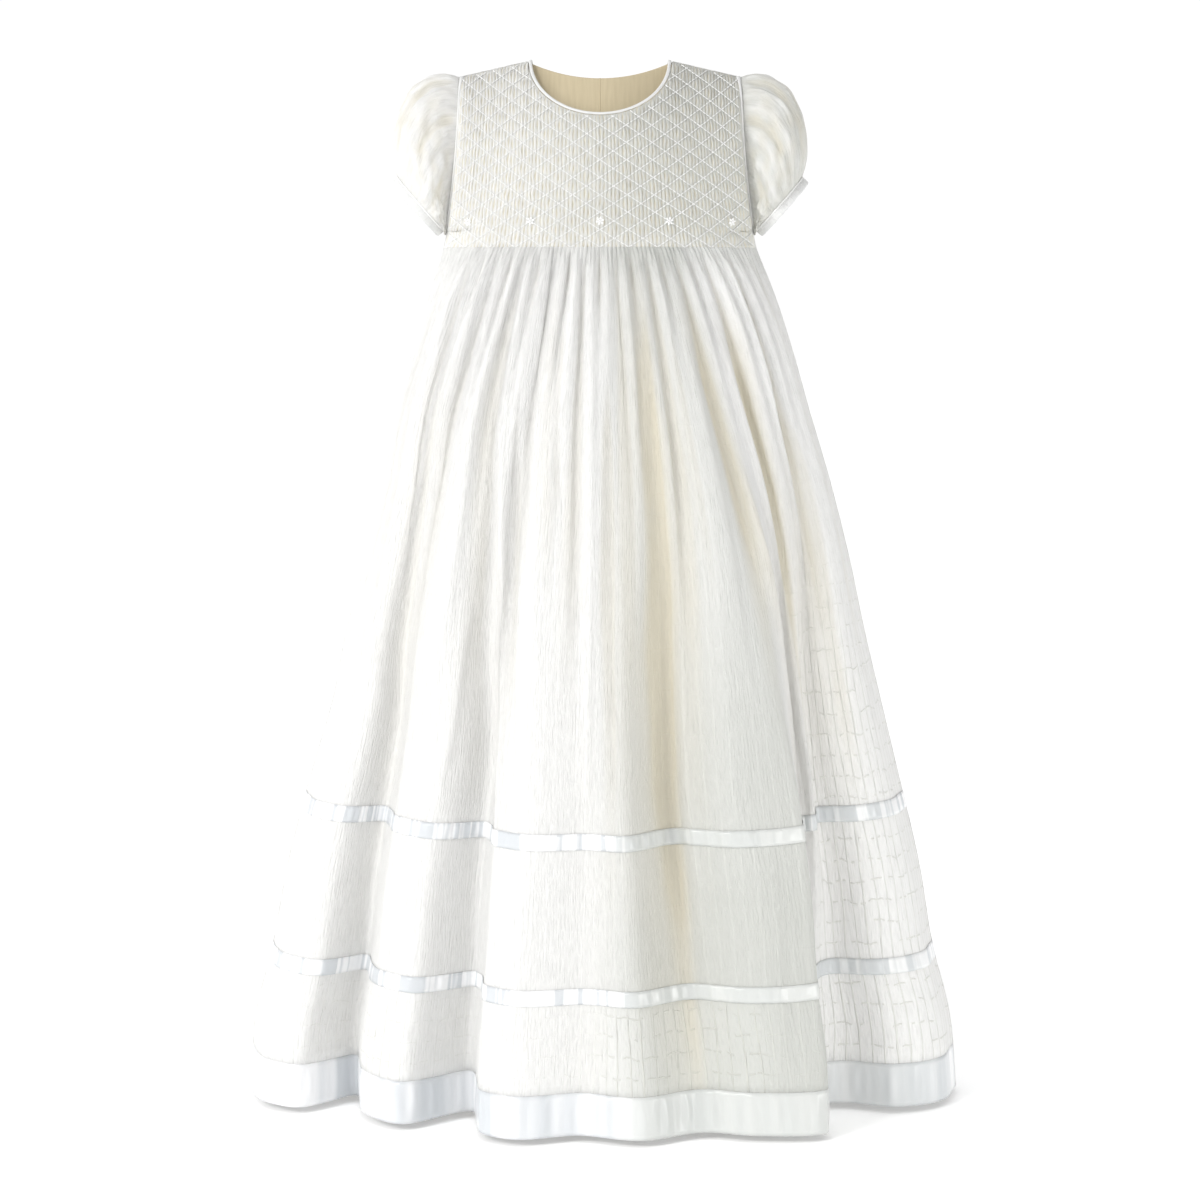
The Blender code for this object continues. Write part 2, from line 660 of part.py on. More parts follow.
def add_neck_binding(material):
    """A narrow bound edge that lies in the neck opening, just inside the panels' edges."""
    half = HALF_COLUMNS // 2
    back = [j for j in YOKE_COLUMNS if j <= half]
    back = back[:0:-1] + [-j for j in back]
    front_edge = neckline(FRONT_NECK_DROP, -1, range(-half, half + 1))
    path = np.concatenate([front_edge, neckline(BACK_NECK_DROP, 1, back)])
    centre = np.array([0.0, 0.0, NECK_TOP + BINDING_EYE])
    along = unit(np.roll(path, -1, 0) - np.roll(path, 1, 0))
    inward = centre - path
    inward = unit(inward - along * (inward * along).sum(1, keepdims=True))
    outward = unit(np.cross(along, inward))
    outward *= np.sign((outward * (0, 0, 1)).sum(1, keepdims=True) + 1e-9)
    start = path + inward * BINDING_OUT
    loops = [
        start + inward * BINDING_WIDE * share + outward * rise / 1000 for share, rise in BINDING_SECTION
    ]
    count = len(path)
    points = np.stack(loops, 1).reshape(-1, 3)
    faces = []
    for i in range(count):
        for j in range(len(loops)):
            a, b = i * len(loops) + j, i * len(loops) + (j + 1) % len(loops)
            c, d = (b + len(loops)) % len(points), (a + len(loops)) % len(points)
            faces.append((a, b, c, d))
    made = add_object("neck_binding", points, faces, material)
    work = bmesh.new()
    work.from_mesh(made.data)
    bmesh.ops.recalc_face_normals(work, faces=work.faces)
    work.to_mesh(made.data)
    work.free()
    return made


# Centre back


def add_placket(material):
    """The button band down the centre back, made from the yoke's own form, moved out."""
    heights = np.linspace(SMOCKING_FOOT + SEAM, NECK_TOP - BACK_NECK_DROP - PLACKET_SHORT, PLACKET_ROWS)
    across = np.array([-PLACKET_HALF, 0.0, PLACKET_HALF])
    points = np.array([(x, 0.0, z) for z in heights for x in across])
    base = on_body(points, 1)
    faces = grid_faces(len(heights), len(across))
    normals = normals_of(base, faces)
    lift = CLOTH / 2
    return add_wall("back_placket", base + normals * (lift + TRIM), base + normals * lift, faces, material)


def add_button(name, height, material):
    """A small domed button, seated on the placket."""
    work = bmesh.new()
    top = BUTTON_RADIUS * BUTTON_DOME
    bmesh.ops.create_cone(
        work, cap_ends=True, segments=16, radius1=BUTTON_RADIUS, radius2=top, depth=BUTTON_THICK
    )
    mesh = bpy.data.meshes.new(name)
    work.to_mesh(mesh)
    work.free()
    mesh.materials.append(material)
    made = bpy.data.objects.new(name, mesh)
    below, depth, above = body_depth(0.0, height + np.array([-BUTTON_RADIUS, 0.0, BUTTON_RADIUS]))
    slope = (above - below) / (2 * BUTTON_RADIUS)
    tilt = math.atan(slope)
    lift = CLOTH / 2 + TRIM + SEAM + BUTTON_THICK / 2
    made.rotation_euler = (-math.pi / 2 - tilt, 0.0, 0.0)
    made.location = (0.0, depth + lift * math.cos(tilt), height - lift * math.sin(tilt))
    bpy.context.scene.collection.objects.link(made)
    return made


# Dress form


def form_ring(front_z, side_z, wide, front, back, upper):
    """One ring of the form, counted from the left side round the front."""
    around = np.arange(FORM_SIDES) * 2 * math.pi / FORM_SIDES
    side, fore = -np.cos(around), np.sin(around)
    height = front_z + (side_z - front_z) * side**2
    across = wide * side
    deep = np.where(fore > 0, front, back)
    if upper:
        width = half_width(height) - ARM_CLEAR
        out = body_depth(across, height, deep, 2 * ARM_CLEAR, FORM_CLEAR, width, FORM_CURVE)
    else:
        out = deep * np.abs(fore)
    return np.column_stack([across, -np.sign(np.round(fore, 6)) * out, height])


def add_dress_form(material):
    """A smooth child's torso: rings from the hips to the neck, whose dished cut follows the neckline."""
    rings = [form_ring(z, z, w, f, b, False) for z, w, f, b in np.array(TORSO) / 1000]
    for middle, side in np.array(ARM_RINGS) / 1000:
        rings.append(form_ring(middle, side, half_width(side) - ARM_CLEAR, FORM_FRONT, FORM_BACK, True))
    for middle, share in NECK_RINGS:
        wide = share * (SHOULDER_HALF - ARM_CLEAR)
        side = shoulder_height(wide) - FORM_CLEAR
        rings.append(form_ring(middle / 1000, side, wide, FORM_FRONT, FORM_BACK, True))
    points = np.concatenate(rings)
    count = len(rings)
    faces = [face[::-1] for face in grid_faces(count, FORM_SIDES, ring=True)]
    foot, head = len(points), len(points) + 1
    dish = float(rings[-1][:, 2].min()) - FORM_DISH
    points = np.concatenate([points, [[0.0, 0.0, FORM_FOOT], [0.0, 0.0, dish]]])
    for k in range(FORM_SIDES):
        following = (k + 1) % FORM_SIDES
        faces.append((foot, following, k))
        last = (count - 1) * FORM_SIDES
        faces.append((head, last + k, last + following))
    return add_object("dress_form", points, faces, material)


def add_turned(name, profile, material):
    """A turned piece: a profile of radius and height, spun round the Z axis from top to bottom."""
    mesh = bpy.data.meshes.new(name)
    corners = [(radius, 0.0, height) for radius, height in profile]
    mesh.from_pydata(corners, [(i, i + 1) for i in range(len(corners) - 1)], [])
    made = bpy.data.objects.new(name, mesh)
    bpy.context.scene.collection.objects.link(made)
    mesh.materials.append(material)
    screw = made.modifiers.new("turned", "SCREW")
    screw.steps = screw.render_steps = TURNED_SIDES
    screw.use_merge_vertices = True
    screw.merge_threshold = 0.0001
    screw.use_smooth_shade = True
    return made


def add_stand(material):
    """The pole under the form and the round base it stands on."""
    top, foot = FORM_FOOT - SEAM, BASE_HIGH + SEAM
    add_turned("form_pole", [(0, top), (POLE_RADIUS, top), (POLE_RADIUS, foot), (0, foot)], material)
    rim = [(BASE_RADIUS - BASE_BEVEL, BASE_HIGH), (BASE_RADIUS, BASE_HIGH - BASE_BEVEL), (BASE_RADIUS, 0)]
    add_turned("form_base", [(0, BASE_HIGH), *rim, (0, 0)], material)


def main():
    clear_scene()
    cloth = finish("sheer_cotton", CLOTH_WHITE, 0.85)
    satin = finish("satin", SATIN_WHITE, 0.35)
    linen = finish("form_linen", LINEN, 0.9)
    stand = finish("stand_paint", STAND_GREY, 0.45)
    pearl = finish("pearl_button", PEARL, 0.25)

    add_front_panel(cloth)
    add_back_skirt(cloth)
    for name, sign in (("right", -1), ("left", 1)):
        add_back_yoke(f"back_yoke_{name}", sign, cloth)
        add_sleeve(f"sleeve_{name}", sign, cloth)
        add_cuff(f"cuff_{name}", sign, cloth)
    add_neck_binding(cloth)
    add_placket(cloth)
    for number, height in enumerate(BUTTON_HEIGHTS, 1):
        add_button(f"button_{number}", height, pearl)
    for face, side in (("front", -1), ("back", 1)):
        add_strip(f"hem_band_{face}", side, BAND_TOP - SEAM, HEM, -CLOTH, CLOTH, satin)
        for place, top in zip(("upper", "lower"), RIBBON_TOPS):
            add_strip(f"ribbon_{place}_{face}", side, top, top - RIBBON, RIBBON_LIFT, TRIM, satin)
    add_dress_form(linen)
    add_stand(stand)


main()
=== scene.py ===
# %% [markdown]
# # A christening gown on a child's dress form
# The gown's solids were built first, at their real size, and come in here as a fixed frame. They are right in size
# and plain in looks. This lesson lays the real cloth over them: pleats held by smocking stitches, gathers that
# open into folds, satin ribbon, and the linen of the form that shows in the neck.

# %% Load the frame
import math

import bpy
import numpy as np
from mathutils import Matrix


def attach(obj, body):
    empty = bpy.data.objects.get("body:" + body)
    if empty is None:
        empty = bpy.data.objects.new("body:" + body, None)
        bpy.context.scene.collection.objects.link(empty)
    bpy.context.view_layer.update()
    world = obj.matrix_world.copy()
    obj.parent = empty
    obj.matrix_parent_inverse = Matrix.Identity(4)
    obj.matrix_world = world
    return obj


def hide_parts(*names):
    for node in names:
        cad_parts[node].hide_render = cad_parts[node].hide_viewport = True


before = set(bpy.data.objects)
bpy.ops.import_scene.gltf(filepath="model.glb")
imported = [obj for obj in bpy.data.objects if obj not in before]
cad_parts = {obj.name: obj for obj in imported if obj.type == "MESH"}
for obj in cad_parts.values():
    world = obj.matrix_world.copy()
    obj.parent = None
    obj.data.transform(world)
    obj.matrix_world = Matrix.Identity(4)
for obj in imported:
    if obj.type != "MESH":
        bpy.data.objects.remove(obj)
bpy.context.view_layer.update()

# %% [markdown]
# ## Shader maths as plain expressions
# A finish is a small network of nodes. Written by hand, such a network is long and hard to read. Two classes make it
# short: one wraps the output of a node so that `+`, `-` and `*` add Math nodes, and one owns the material and makes
# any other node from its type, its settings and its inputs.

# %% Values and finishes
class Value:
    """The output of a node; arithmetic on it adds Math nodes to the same material."""

    def __init__(self, finish, socket):
        self.finish, self.socket = finish, socket

    def math(self, operation, *others):
        settings = {"operation": operation}
        return self.finish.node("Math", settings, dict(enumerate([self, *others])))

    def __add__(self, other):
        return self.math("ADD", other)

    def __sub__(self, other):
        return self.math("SUBTRACT", other)

    def __rsub__(self, other):
        return self.math("MULTIPLY_ADD", -1.0, other)

    def __mul__(self, other):
        return self.math("MULTIPLY", other)

    __radd__ = __add__
    __rmul__ = __mul__

    def clamp(self):
        """The value, kept between 0 and 1."""
        return self.math("MAXIMUM", 0.0).math("MINIMUM", 1.0)

    def line(self, half):
        """1 on each whole number plus a half, falling to 0 at a distance of half on either side."""
        return (1 - (self.math("FRACT") - 0.5).math("ABSOLUTE") * (1 / half)).math("MAXIMUM", 0.0)


class Finish:
    """A material, or the world round the gown, whose nodes are made by one method."""

    def __init__(self, name, world=False):
        self.owner = (bpy.data.worlds if world else bpy.data.materials).new(name)
        self.owner.use_nodes = True
        self.tree = self.owner.node_tree
        self.tree.nodes.clear()

    def node(self, kind, settings=None, inputs=None, output=0):
        """A shader node: its type, then its settings, then the values or links of its sockets."""
        made = self.tree.nodes.new("ShaderNode" + kind)
        for key, value in (settings or {}).items():
            setattr(made, key, value)
        for key, value in (inputs or {}).items():
            if isinstance(value, Value):
                self.tree.links.new(value.socket, made.inputs[key])
            else:
                made.inputs[key].default_value = value
        return Value(self, made.outputs[output])

    def noise(self, place, scale, detail=2.0):
        """Smooth noise from 0 to 1, of so many cells in a metre."""
        return self.node("TexNoise", None, {"Vector": place, "Scale": scale, "Detail": detail})

    def cloth_place(self, across, down):
        """A place on the cut cloth: metres across and down, each multiplied by a number."""
        flat = self.node("UVMap", {"uv_map": "cloth"})
        return self.node("VectorMath", {"operation": "MULTIPLY"}, {0: flat, 1: (across, down, 1.0)})

    def split(self, place):
        """The three parts of a vector."""
        return (self.node("SeparateXYZ", None, {0: place}, output) for output in (0, 1, 2))

    def mix(self, share, low, high):
        """A colour between two colours."""
        return self.node("Mix", {"data_type": "RGBA"}, {"Factor": share, "A": low, "B": high}, 2)

    def mark(self, name):
        """A number that the piece's own points carry."""
        return self.node("Attribute", {"attribute_name": name}, None, 2)

    def bump(self, height, strength, distance):
        return self.node("Bump", None, {"Strength": strength, "Distance": distance, "Height": height})

    def principled(self, base, roughness, relief=None, more=None):
        """The main surface: its colour, its roughness, its relief and any other sockets."""
        inputs = {"Base Color": base, "Roughness": roughness, **(more or {})}
        return self.node("BsdfPrincipled", None, inputs if relief is None else {**inputs, "Normal": relief})

    def surface(self, shader, kind="OutputMaterial"):
        out = self.tree.nodes.new("ShaderNode" + kind)
        self.tree.links.new(shader.socket, out.inputs["Surface"])
        return self.owner


def colour(red, green, blue):
    return (red, green, blue, 1.0)


print("finish tools ready")

# %% [markdown]
# ## The camera and the light
# The gown was photographed from the front with a long lens, from a little above its middle, against pure white.
# A long lens keeps its sides nearly parallel, so the camera stands well back. The light is a bright, soft room with
# one large source on the left, so the left edge nearly burns out and every fold has its shade on the right. A weak
# window behind and a low card on the right keep the last folds from going dark.

# %% Camera
AIM = 0.375  # height of the point that the camera looks at
DISTANCE = 2.6
RISE = math.radians(5)
LENS = 104  # millimetres, on a sensor 36 mm wide

camera = bpy.data.objects.new("camera", bpy.data.cameras.new("camera"))
camera.data.lens = LENS
camera.data.sensor_width = 36
camera.location = (0.0, -DISTANCE * math.cos(RISE), AIM + DISTANCE * math.sin(RISE))
camera.rotation_euler = (math.pi / 2 - RISE, 0.0, 0.0)
bpy.context.scene.collection.objects.link(camera)
bpy.context.scene.camera = camera
bpy.context.scene.view_settings.view_transform = "Standard"
print("camera stands at", [round(x, 3) for x in camera.location])

# %% Lights
def add_light(name, place, target, size, watts, colour):
    """A square area light of one size, turned to face a point."""
    light = bpy.data.lights.new(name, "AREA")
    light.size = size
    light.energy = watts
    light.color = colour
    made = bpy.data.objects.new(name, light)
    made.location = place
    toward = np.array(target, float) - np.array(place, float)
    made.rotation_euler = (math.atan2(np.hypot(toward[0], toward[1]), -toward[2]), 0.0,
                           math.atan2(toward[1], toward[0]) - math.pi / 2)
    bpy.context.scene.collection.objects.link(made)


add_light("window", (-1.9, -1.5, 1.1), (0.0, 0.0, 0.3), 0.9, 12.0, (1.0, 0.99, 0.97))
add_light("back_window", (-1.5, 1.5, 1.2), (0.0, 0.0, 0.4), 1.0, 3.0, (1.0, 1.0, 1.0))
add_light("low_card", (1.5, -0.9, 0.25), (0.2, -0.05, 0.3), 0.6, 7.0, (1.0, 1.0, 0.98))

sun = bpy.data.lights.new("daylight", "SUN")
sun.energy = 1.0
sun.angle = math.radians(16)
daylight = bpy.data.objects.new("daylight", sun)
daylight.rotation_euler = (math.radians(58), 0.0, math.radians(-42))
bpy.context.scene.collection.objects.link(daylight)

# The room is bright on the left and dims to the right; the wall straight behind the gown is pure white.
WALL_LIGHT = 1.03
room = Finish("room", world=True)
to_right, to_back, to_top = room.split(room.node("TexCoord"))
wall = ((to_back - 0.80) * 6.0).clamp()
dim = 0.62 - 0.22 * to_right + 0.10 * to_back + 0.14 * to_top
strength = dim + (WALL_LIGHT - dim) * wall
bpy.context.scene.world = room.surface(
    room.node("Background", None, {"Color": colour(1.0, 1.0, 1.0), "Strength": strength}), "OutputWorld")

# %% [markdown]
# ## The finishes
# The gown is a fine voile with a windowpane of thicker threads, about 10 mm by 15 mm, and it crinkles along its
# length. Voile lets light through, so a part of the surface passes light on instead of sending it back, less so at
# the thick threads, which show as darker lines against the light. Each piece of cloth carries three numbers at its
# points, all of them painted light and shade: a warm beige painted shade in deep folds, a painted backlight where
# light comes through from behind, and a grey painted shade where it doesn't, on the side away from the window.

# %% Voile
IVORY = colour(0.96, 0.958, 0.947)
STREAK = colour(0.86, 0.86, 0.85)
# Painted warm shade for deep folds, then the thick threads' colour, and a painted grey shade for the side away from
# the window
WARM_SHADE_BEIGE = colour(0.79, 0.745, 0.62)
PANE_LINE = colour(0.70, 0.70, 0.64)
GREY_SHADE_COLOUR = colour(0.70, 0.71, 0.675)
PANE_WIDE = 0.0103
PANE_HIGH = 0.0155
THREAD = 0.085  # half a thick thread, as a share of the pane


def voile(name, light_passed, ground=IVORY, pane_always=0.10):
    """Ivory voile: crinkled streaks, painted warm and grey shade, painted backlight, and a windowpane against the
    light.
    """
    finish = Finish(name)
    drift = finish.noise(finish.cloth_place(1.0, 0.25), 55.0) * 0.7
    across, down, _ = finish.split(finish.cloth_place(1 / PANE_WIDE, 1 / PANE_HIGH))
    upright = (across + drift).line(THREAD)
    level = (down + drift).line(THREAD * 0.7)
    broken = finish.noise(finish.cloth_place(1.0, 0.4), 150.0, 1.0).math("GREATER_THAN", 0.5)
    pane = upright.math("MAXIMUM", level * broken)
    crinkle = finish.noise(finish.cloth_place(1.0, 0.11), 620.0, 3.0)
    slub = finish.noise(finish.cloth_place(1.0, 0.30), 430.0, 2.0)
    patch = finish.noise(finish.cloth_place(1.0, 0.5), 26.0)
    # Painted warm shade in the deep folds, broken into broad patches
    warm_shade = (finish.mark("warm_shade") * (patch + 0.55)).math("MINIMUM", 1.0)
    # Painted backlight and painted grey shade, read from the piece's points
    painted_backlight, grey_shade = finish.mark("painted_backlight"), finish.mark("grey_shade")
    lit = (painted_backlight + pane_always).math("MINIMUM", 1.0)
    streak = ((crinkle - 0.5) * 3.2 + (slub - 0.5) * 1.8 + 0.35).clamp()
    base = finish.mix(streak * 0.75, ground, STREAK)
    base = finish.mix(grey_shade, base, GREY_SHADE_COLOUR)
    base = finish.mix(warm_shade, base, WARM_SHADE_BEIGE)
    base = finish.mix(pane * lit * 0.6, base, PANE_LINE)
    relief = finish.bump(crinkle + slub * 0.6 + pane * lit * 0.45, 0.95, 0.0012)
    cloth = finish.principled(base, 0.85, relief, {"Sheen Weight": 0.15, "Specular IOR Level": 0.2})
    through = finish.node("BsdfTranslucent", None, {"Color": ground})
    # Where backlight is painted the cloth sends more light back, and where grey shade is painted it passes a little
    # more on
    share = light_passed - pane * (light_passed * 0.5) - painted_backlight * (light_passed * 0.45) + grey_shade * 0.06
    return finish.surface(finish.node("MixShader", None, {0: share, 1: cloth, 2: through}))


SKIRT_VOILE = voile("skirt_voile", 0.24)
SLEEVE_VOILE = voile("sleeve_voile", 0.26)
SMOCKED_VOILE = voile("smocked_voile", 0.08, colour(0.93, 0.93, 0.915), 0.0)
BAND_VOILE = voile("band_voile", 0.08, colour(0.81, 0.815, 0.81), 0.0)
print("voile finishes:", SKIRT_VOILE.name, SLEEVE_VOILE.name, SMOCKED_VOILE.name, BAND_VOILE.name)

# %% Satin, thread, linen, stand and buttons
def satin(name, patches, contrast):
    """Cool satin: painted reflections, bright and grey, in patches along its length, so many in a metre, with edges
    of a contrast.
    """
    finish = Finish(name)
    broad = finish.noise(finish.cloth_place(1.0, 0.02), patches, 2.0)
    small = finish.noise(finish.cloth_place(1.0, 0.05), patches * 3.4, 1.0)
    painted_glint = ((broad - 0.5) * contrast + (small - 0.5) * contrast * 0.8 + 0.42).clamp()
    ripple = finish.noise(finish.cloth_place(1.0, 0.3), 80.0, 2.0)
    weave = finish.noise(finish.cloth_place(1.0, 0.08), 1100.0, 1.0)
    # Painted reflections: the patches mix a grey and a bright satin colour
    base = finish.mix(painted_glint, colour(0.64, 0.665, 0.69), colour(0.91, 0.915, 0.925))
    # Painted grey shade where the band is marked
    base = finish.mix(finish.mark("grey_shade"), base, colour(0.62, 0.635, 0.61))
    relief = finish.bump(ripple + weave * 0.02, 0.5, 0.004)
    return finish.surface(finish.principled(base, 0.28, relief, {"Specular IOR Level": 0.5}))


def linen(name):
    """Tan linen in a plain weave: two sets of uneven threads at right angles, and slubs of a darker yarn."""
    finish = Finish(name)
    across, down, _ = finish.split(finish.cloth_place(1300.0, 1300.0))
    warp = (across + finish.noise(finish.cloth_place(1.0, 0.1), 500.0)).line(0.5)
    weft = (down + finish.noise(finish.cloth_place(0.1, 1.0), 500.0)).line(0.5)
    slub = finish.noise(finish.cloth_place(1.0, 0.06), 420.0, 3.0)
    weave = warp.math("MAXIMUM", weft)
    base = finish.mix(slub, colour(0.50, 0.415, 0.26), colour(0.66, 0.565, 0.385))
    base = finish.mix(weave * 0.25, base, colour(0.74, 0.65, 0.47))
    return finish.surface(finish.principled(base, 0.85, finish.bump(weave + slub, 0.35, 0.0004)))


def grained(name, cells, detail, low, high, roughness, relief=None, more=None):
    """A finish of two colours mixed by one noise, of so many cells in a metre, which also lifts the surface."""
    finish = Finish(name)
    grain = finish.noise(finish.node("TexCoord", None, None, 3), cells, detail)
    base = finish.mix(grain, colour(*low), colour(*high))
    return finish.surface(finish.principled(base, roughness, relief and finish.bump(grain, *relief), more))


RIBBON_SATIN = satin("ribbon_satin", 48.0, 9.0)
HEM_SATIN = satin("hem_satin", 17.0, 3.2)
# Twisted white embroidery cotton has fine strands, the paint a faint orange peel, the pearl broad soft bands
THREAD_WHITE = grained("embroidery_cotton", 2500.0, 1.0, (0.85, 0.85, 0.84), (0.93, 0.93, 0.92), 0.6,
                       (0.3, 0.0002), {"Sheen Weight": 0.2})
LINEN = linen("form_linen_weave")
STAND_PAINT = grained("stand_grey_paint", 900.0, 1.0, (0.66, 0.64, 0.60), (0.74, 0.72, 0.68), 0.4, (0.1, 0.0003))
PEARL = grained("pearl", 380.0, 2.0, (0.80, 0.79, 0.76), (0.95, 0.93, 0.88), 0.22,
                more={"Coat Weight": 0.6, "Coat Roughness": 0.08})
print("other finishes ready")

# %% [markdown]
# ## From arrays to meshes
# Each piece is worked out as a grid of points, with rows that run down and columns that run to the right as the
# viewer outside sees them. One function turns such points and their faces into a mesh, with a map of the flat cloth
# in metres, so that a weave keeps its real size. The voile is given its thickness by a Solidify modifier.

# %% Mesh tools
SHELL = 0.0004  # thickness of a shell of voile
WEARER = (("right", -1), ("left", 1))  # the wearer's sides, and their signs across


def quads(rows, columns, ring=False):
    """Corner numbers of a grid's faces, one row of four for each face; a ring's last column joins its first."""
    place = np.arange(rows * columns).reshape(rows, columns)
    if ring:
        place = np.hstack([place, place[:, :1]])
    return np.stack([place[:-1, :-1], place[1:, :-1], place[1:, 1:], place[:-1, 1:]], -1).reshape(-1, 4)


def new_piece(name, points, faces, flat=None, flat_faces=None, marks=None, crisp=0):
    """An object with these points and blocks of faces; flat holds each corner's place on the cut cloth.

    The last blocks, as many as crisp says, are rims and caps, which are shaded as flat faces."""
    mesh = bpy.data.meshes.new(name)
    points = np.asarray(points, np.float32).reshape(-1, 3)
    corners = np.concatenate([block.ravel() for block in faces])
    sizes = np.concatenate([np.full(len(block), block.shape[1]) for block in faces])
    mesh.vertices.add(len(points))
    mesh.vertices.foreach_set("co", points.ravel())
    mesh.loops.add(len(corners))
    mesh.loops.foreach_set("vertex_index", corners.astype(np.int32))
    mesh.polygons.add(len(sizes))
    mesh.polygons.foreach_set("loop_start", (np.cumsum(sizes) - sizes).astype(np.int32))
    mesh.update(calc_edges=True)
    if flat is not None:
        used = corners if flat_faces is None else np.concatenate([block.ravel() for block in flat_faces])
        layer = mesh.uv_layers.new(name="cloth")
        layer.data.foreach_set("uv", np.asarray(flat, np.float32).reshape(-1, 2)[used].ravel())
    for mark, values in (marks or {}).items():
        mesh.attributes.new(mark, "FLOAT", "POINT").data.foreach_set("value", values.astype(np.float32).ravel())
    smooth = np.ones(len(sizes), bool)
    smooth[len(sizes) - sum(len(block) for block in faces[len(faces) - crisp:]):] = False
    mesh.polygons.foreach_set("use_smooth", smooth)
    made = bpy.data.objects.new(name, mesh)
    bpy.context.scene.collection.objects.link(made)
    return made


def dress(piece, finish, replaces=(), thick=None):
    """Gives a piece its finish and its shell, lets it ride on the gown and hides the solids that it stands for."""
    piece.data.materials.append(finish)
    if thick:
        shell = piece.modifiers.new("shell", "SOLIDIFY")
        shell.thickness = thick
        shell.offset = -1.0
    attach(piece, "root")
    if replaces:
        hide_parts(*replaces)
    return piece


def hang(name, grid, flat, finish, replaces, thick, marks=None):
    """An open sheet of cloth, from a grid of points and its map, dressed with a shell."""
    return dress(new_piece(name, grid, [quads(*grid.shape[:2])], flat, marks=marks), finish, replaces, thick)


def unit(vectors):
    return vectors / np.maximum(np.linalg.norm(vectors, axis=-1, keepdims=True), 1e-12)


def outward(grid, ring=False):
    """The outward normal at each point of a grid: the step down crossed with the step to the right."""
    down = np.gradient(grid, axis=0)
    if ring:
        right = np.roll(grid, -1, 1) - np.roll(grid, 1, 1)
    else:
        right = np.gradient(grid, axis=1)
    return unit(np.cross(down, right))


def travelled(line):
    """The distance covered at each point of a line of points."""
    steps = np.linalg.norm(np.diff(line, axis=0), axis=1)
    return np.concatenate([[0.0], np.cumsum(steps)])


def soft_step(value, low, high):
    """0 below low, 1 above high, and a smooth S between them."""
    part = np.clip((value - low) / (high - low), 0.0, 1.0)
    return part * part * (3 - 2 * part)


def window(value, low, full, fading, gone):
    """0, then 1 between two soft steps, then 0 again."""
    return soft_step(value, low, full) * (1 - soft_step(value, fading, gone))


def turns(count):
    """Angles once round in equal steps."""
    return np.arange(count) * 2 * math.pi / count


def turned(profile, sides):
    """Points and faces of a profile of (radius, height) spun round an axis; it starts and ends on the axis."""
    profile = np.array(profile)
    rings = profile[1:-1]
    body = np.stack([np.outer(rings[:, 0], np.cos(turns(sides))), np.outer(rings[:, 0], np.sin(turns(sides))),
                     np.repeat(rings[:, 1:], sides, 1)], -1).reshape(-1, 3)
    points = np.concatenate([body, [[0, 0, profile[0, 1]], [0, 0, profile[-1, 1]]]])
    first, last = np.arange(sides), (len(rings) - 1) * sides + np.arange(sides)
    top = np.stack([np.full(sides, len(body)), first, np.roll(first, -1)], -1)
    foot = np.stack([np.full(sides, len(body) + 1), np.roll(last, -1), last], -1)
    return points, [quads(len(rings), sides, ring=True), top, foot]


print("mesh tools ready")

# %% [markdown]
# ## The form of the bodice
# The front, the yoke behind and the form inside all share one shape: an ellipse across that curves back over its
# last 90 mm to the sloping line of the shoulder, and that closes to the armhole's oval at the side. The formulas
# are those of the solids, so each piece lies exactly where its solid does.

# %% Bodice form
SMOCKING_FOOT = 0.6375
ROW = 0.00625  # half the height of a smocked diamond
HALF_COLUMNS = 12  # half diamonds from the middle to an armhole
FAN = math.radians(38.8)
RELIEF = 0.0013
CHEST = 0.073
NECK_HALF = 0.053
NECK_TOP = 0.775
FRONT_NECK_DROP = 0.0426
BACK_NECK_DROP = 0.018
SHOULDER_SLOPE = 0.24
SHOULDER_ROUND = 0.025
SHOULDER_FALL = 0.09
SHOULDER_CURVE = 0.7
SHOULDER_HALF = 0.1035
UNDERARM_FLARE = 0.0125
ARMHOLE_TOP = 0.7635
ARMHOLE_FOOT = 0.650
ARMHOLE_MIDDLE = (ARMHOLE_TOP + ARMHOLE_FOOT) / 2
ARMHOLE_DEEP = 0.028


def shoulder_height(across):
    """A line that falls outward at the shoulder's slope, rounded over at the middle."""
    return NECK_TOP - SHOULDER_SLOPE * (np.hypot(across, SHOULDER_ROUND) - math.hypot(NECK_HALF, SHOULDER_ROUND))


def half_width(height):
    """The shoulder's half width, which flares by the 2.2th power of the fall to the smocking's foot."""
    fall = np.clip((ARMHOLE_TOP - height) / (ARMHOLE_TOP - SMOCKING_FOOT), 0.0, None)
    return SHOULDER_HALF + UNDERARM_FLARE * fall**2.2


def armhole_depth(height):
    """Half the armhole's opening: the half chord of an ellipse at that height."""
    part = (height - ARMHOLE_MIDDLE) / (ARMHOLE_TOP - ARMHOLE_MIDDLE)
    return ARMHOLE_DEEP * np.sqrt(np.clip(1 - part**2, 0.0, None))


def body_depth(across, height, chest=CHEST, inside=0.0, lowered=0.0, width=None, curve=SHOULDER_CURVE):
    """The chest's depth, times a sine of the fall from the shoulder line, times an ellipse across.

    The armhole's half depth comes on top, by the sixth power of the share across."""
    width = half_width(height) if width is None else width
    share = np.clip(np.abs(across) / width, 0.0, 1.0)
    fall = np.clip((shoulder_height(across) - lowered - height) / SHOULDER_FALL, 0.0, 1.0)
    out = chest * np.sin(math.pi / 2 * fall**curve) * np.sqrt(1 - share**2)
    return out + np.clip(armhole_depth(height) - inside, 0.0, None) * share**6


def spread(part):
    """Columns lie at equal angles, so their places across are sines."""
    return np.sin(FAN * part) / math.sin(FAN)


def top_edge(across, drop):
    """Half an ellipse hung between the neck points, and the shoulder line outside them."""
    neck = NECK_TOP - drop * np.sqrt(np.clip(1 - (across / NECK_HALF) ** 2, 0.0, None))
    return np.where(np.abs(across) < NECK_HALF, neck, shoulder_height(across))


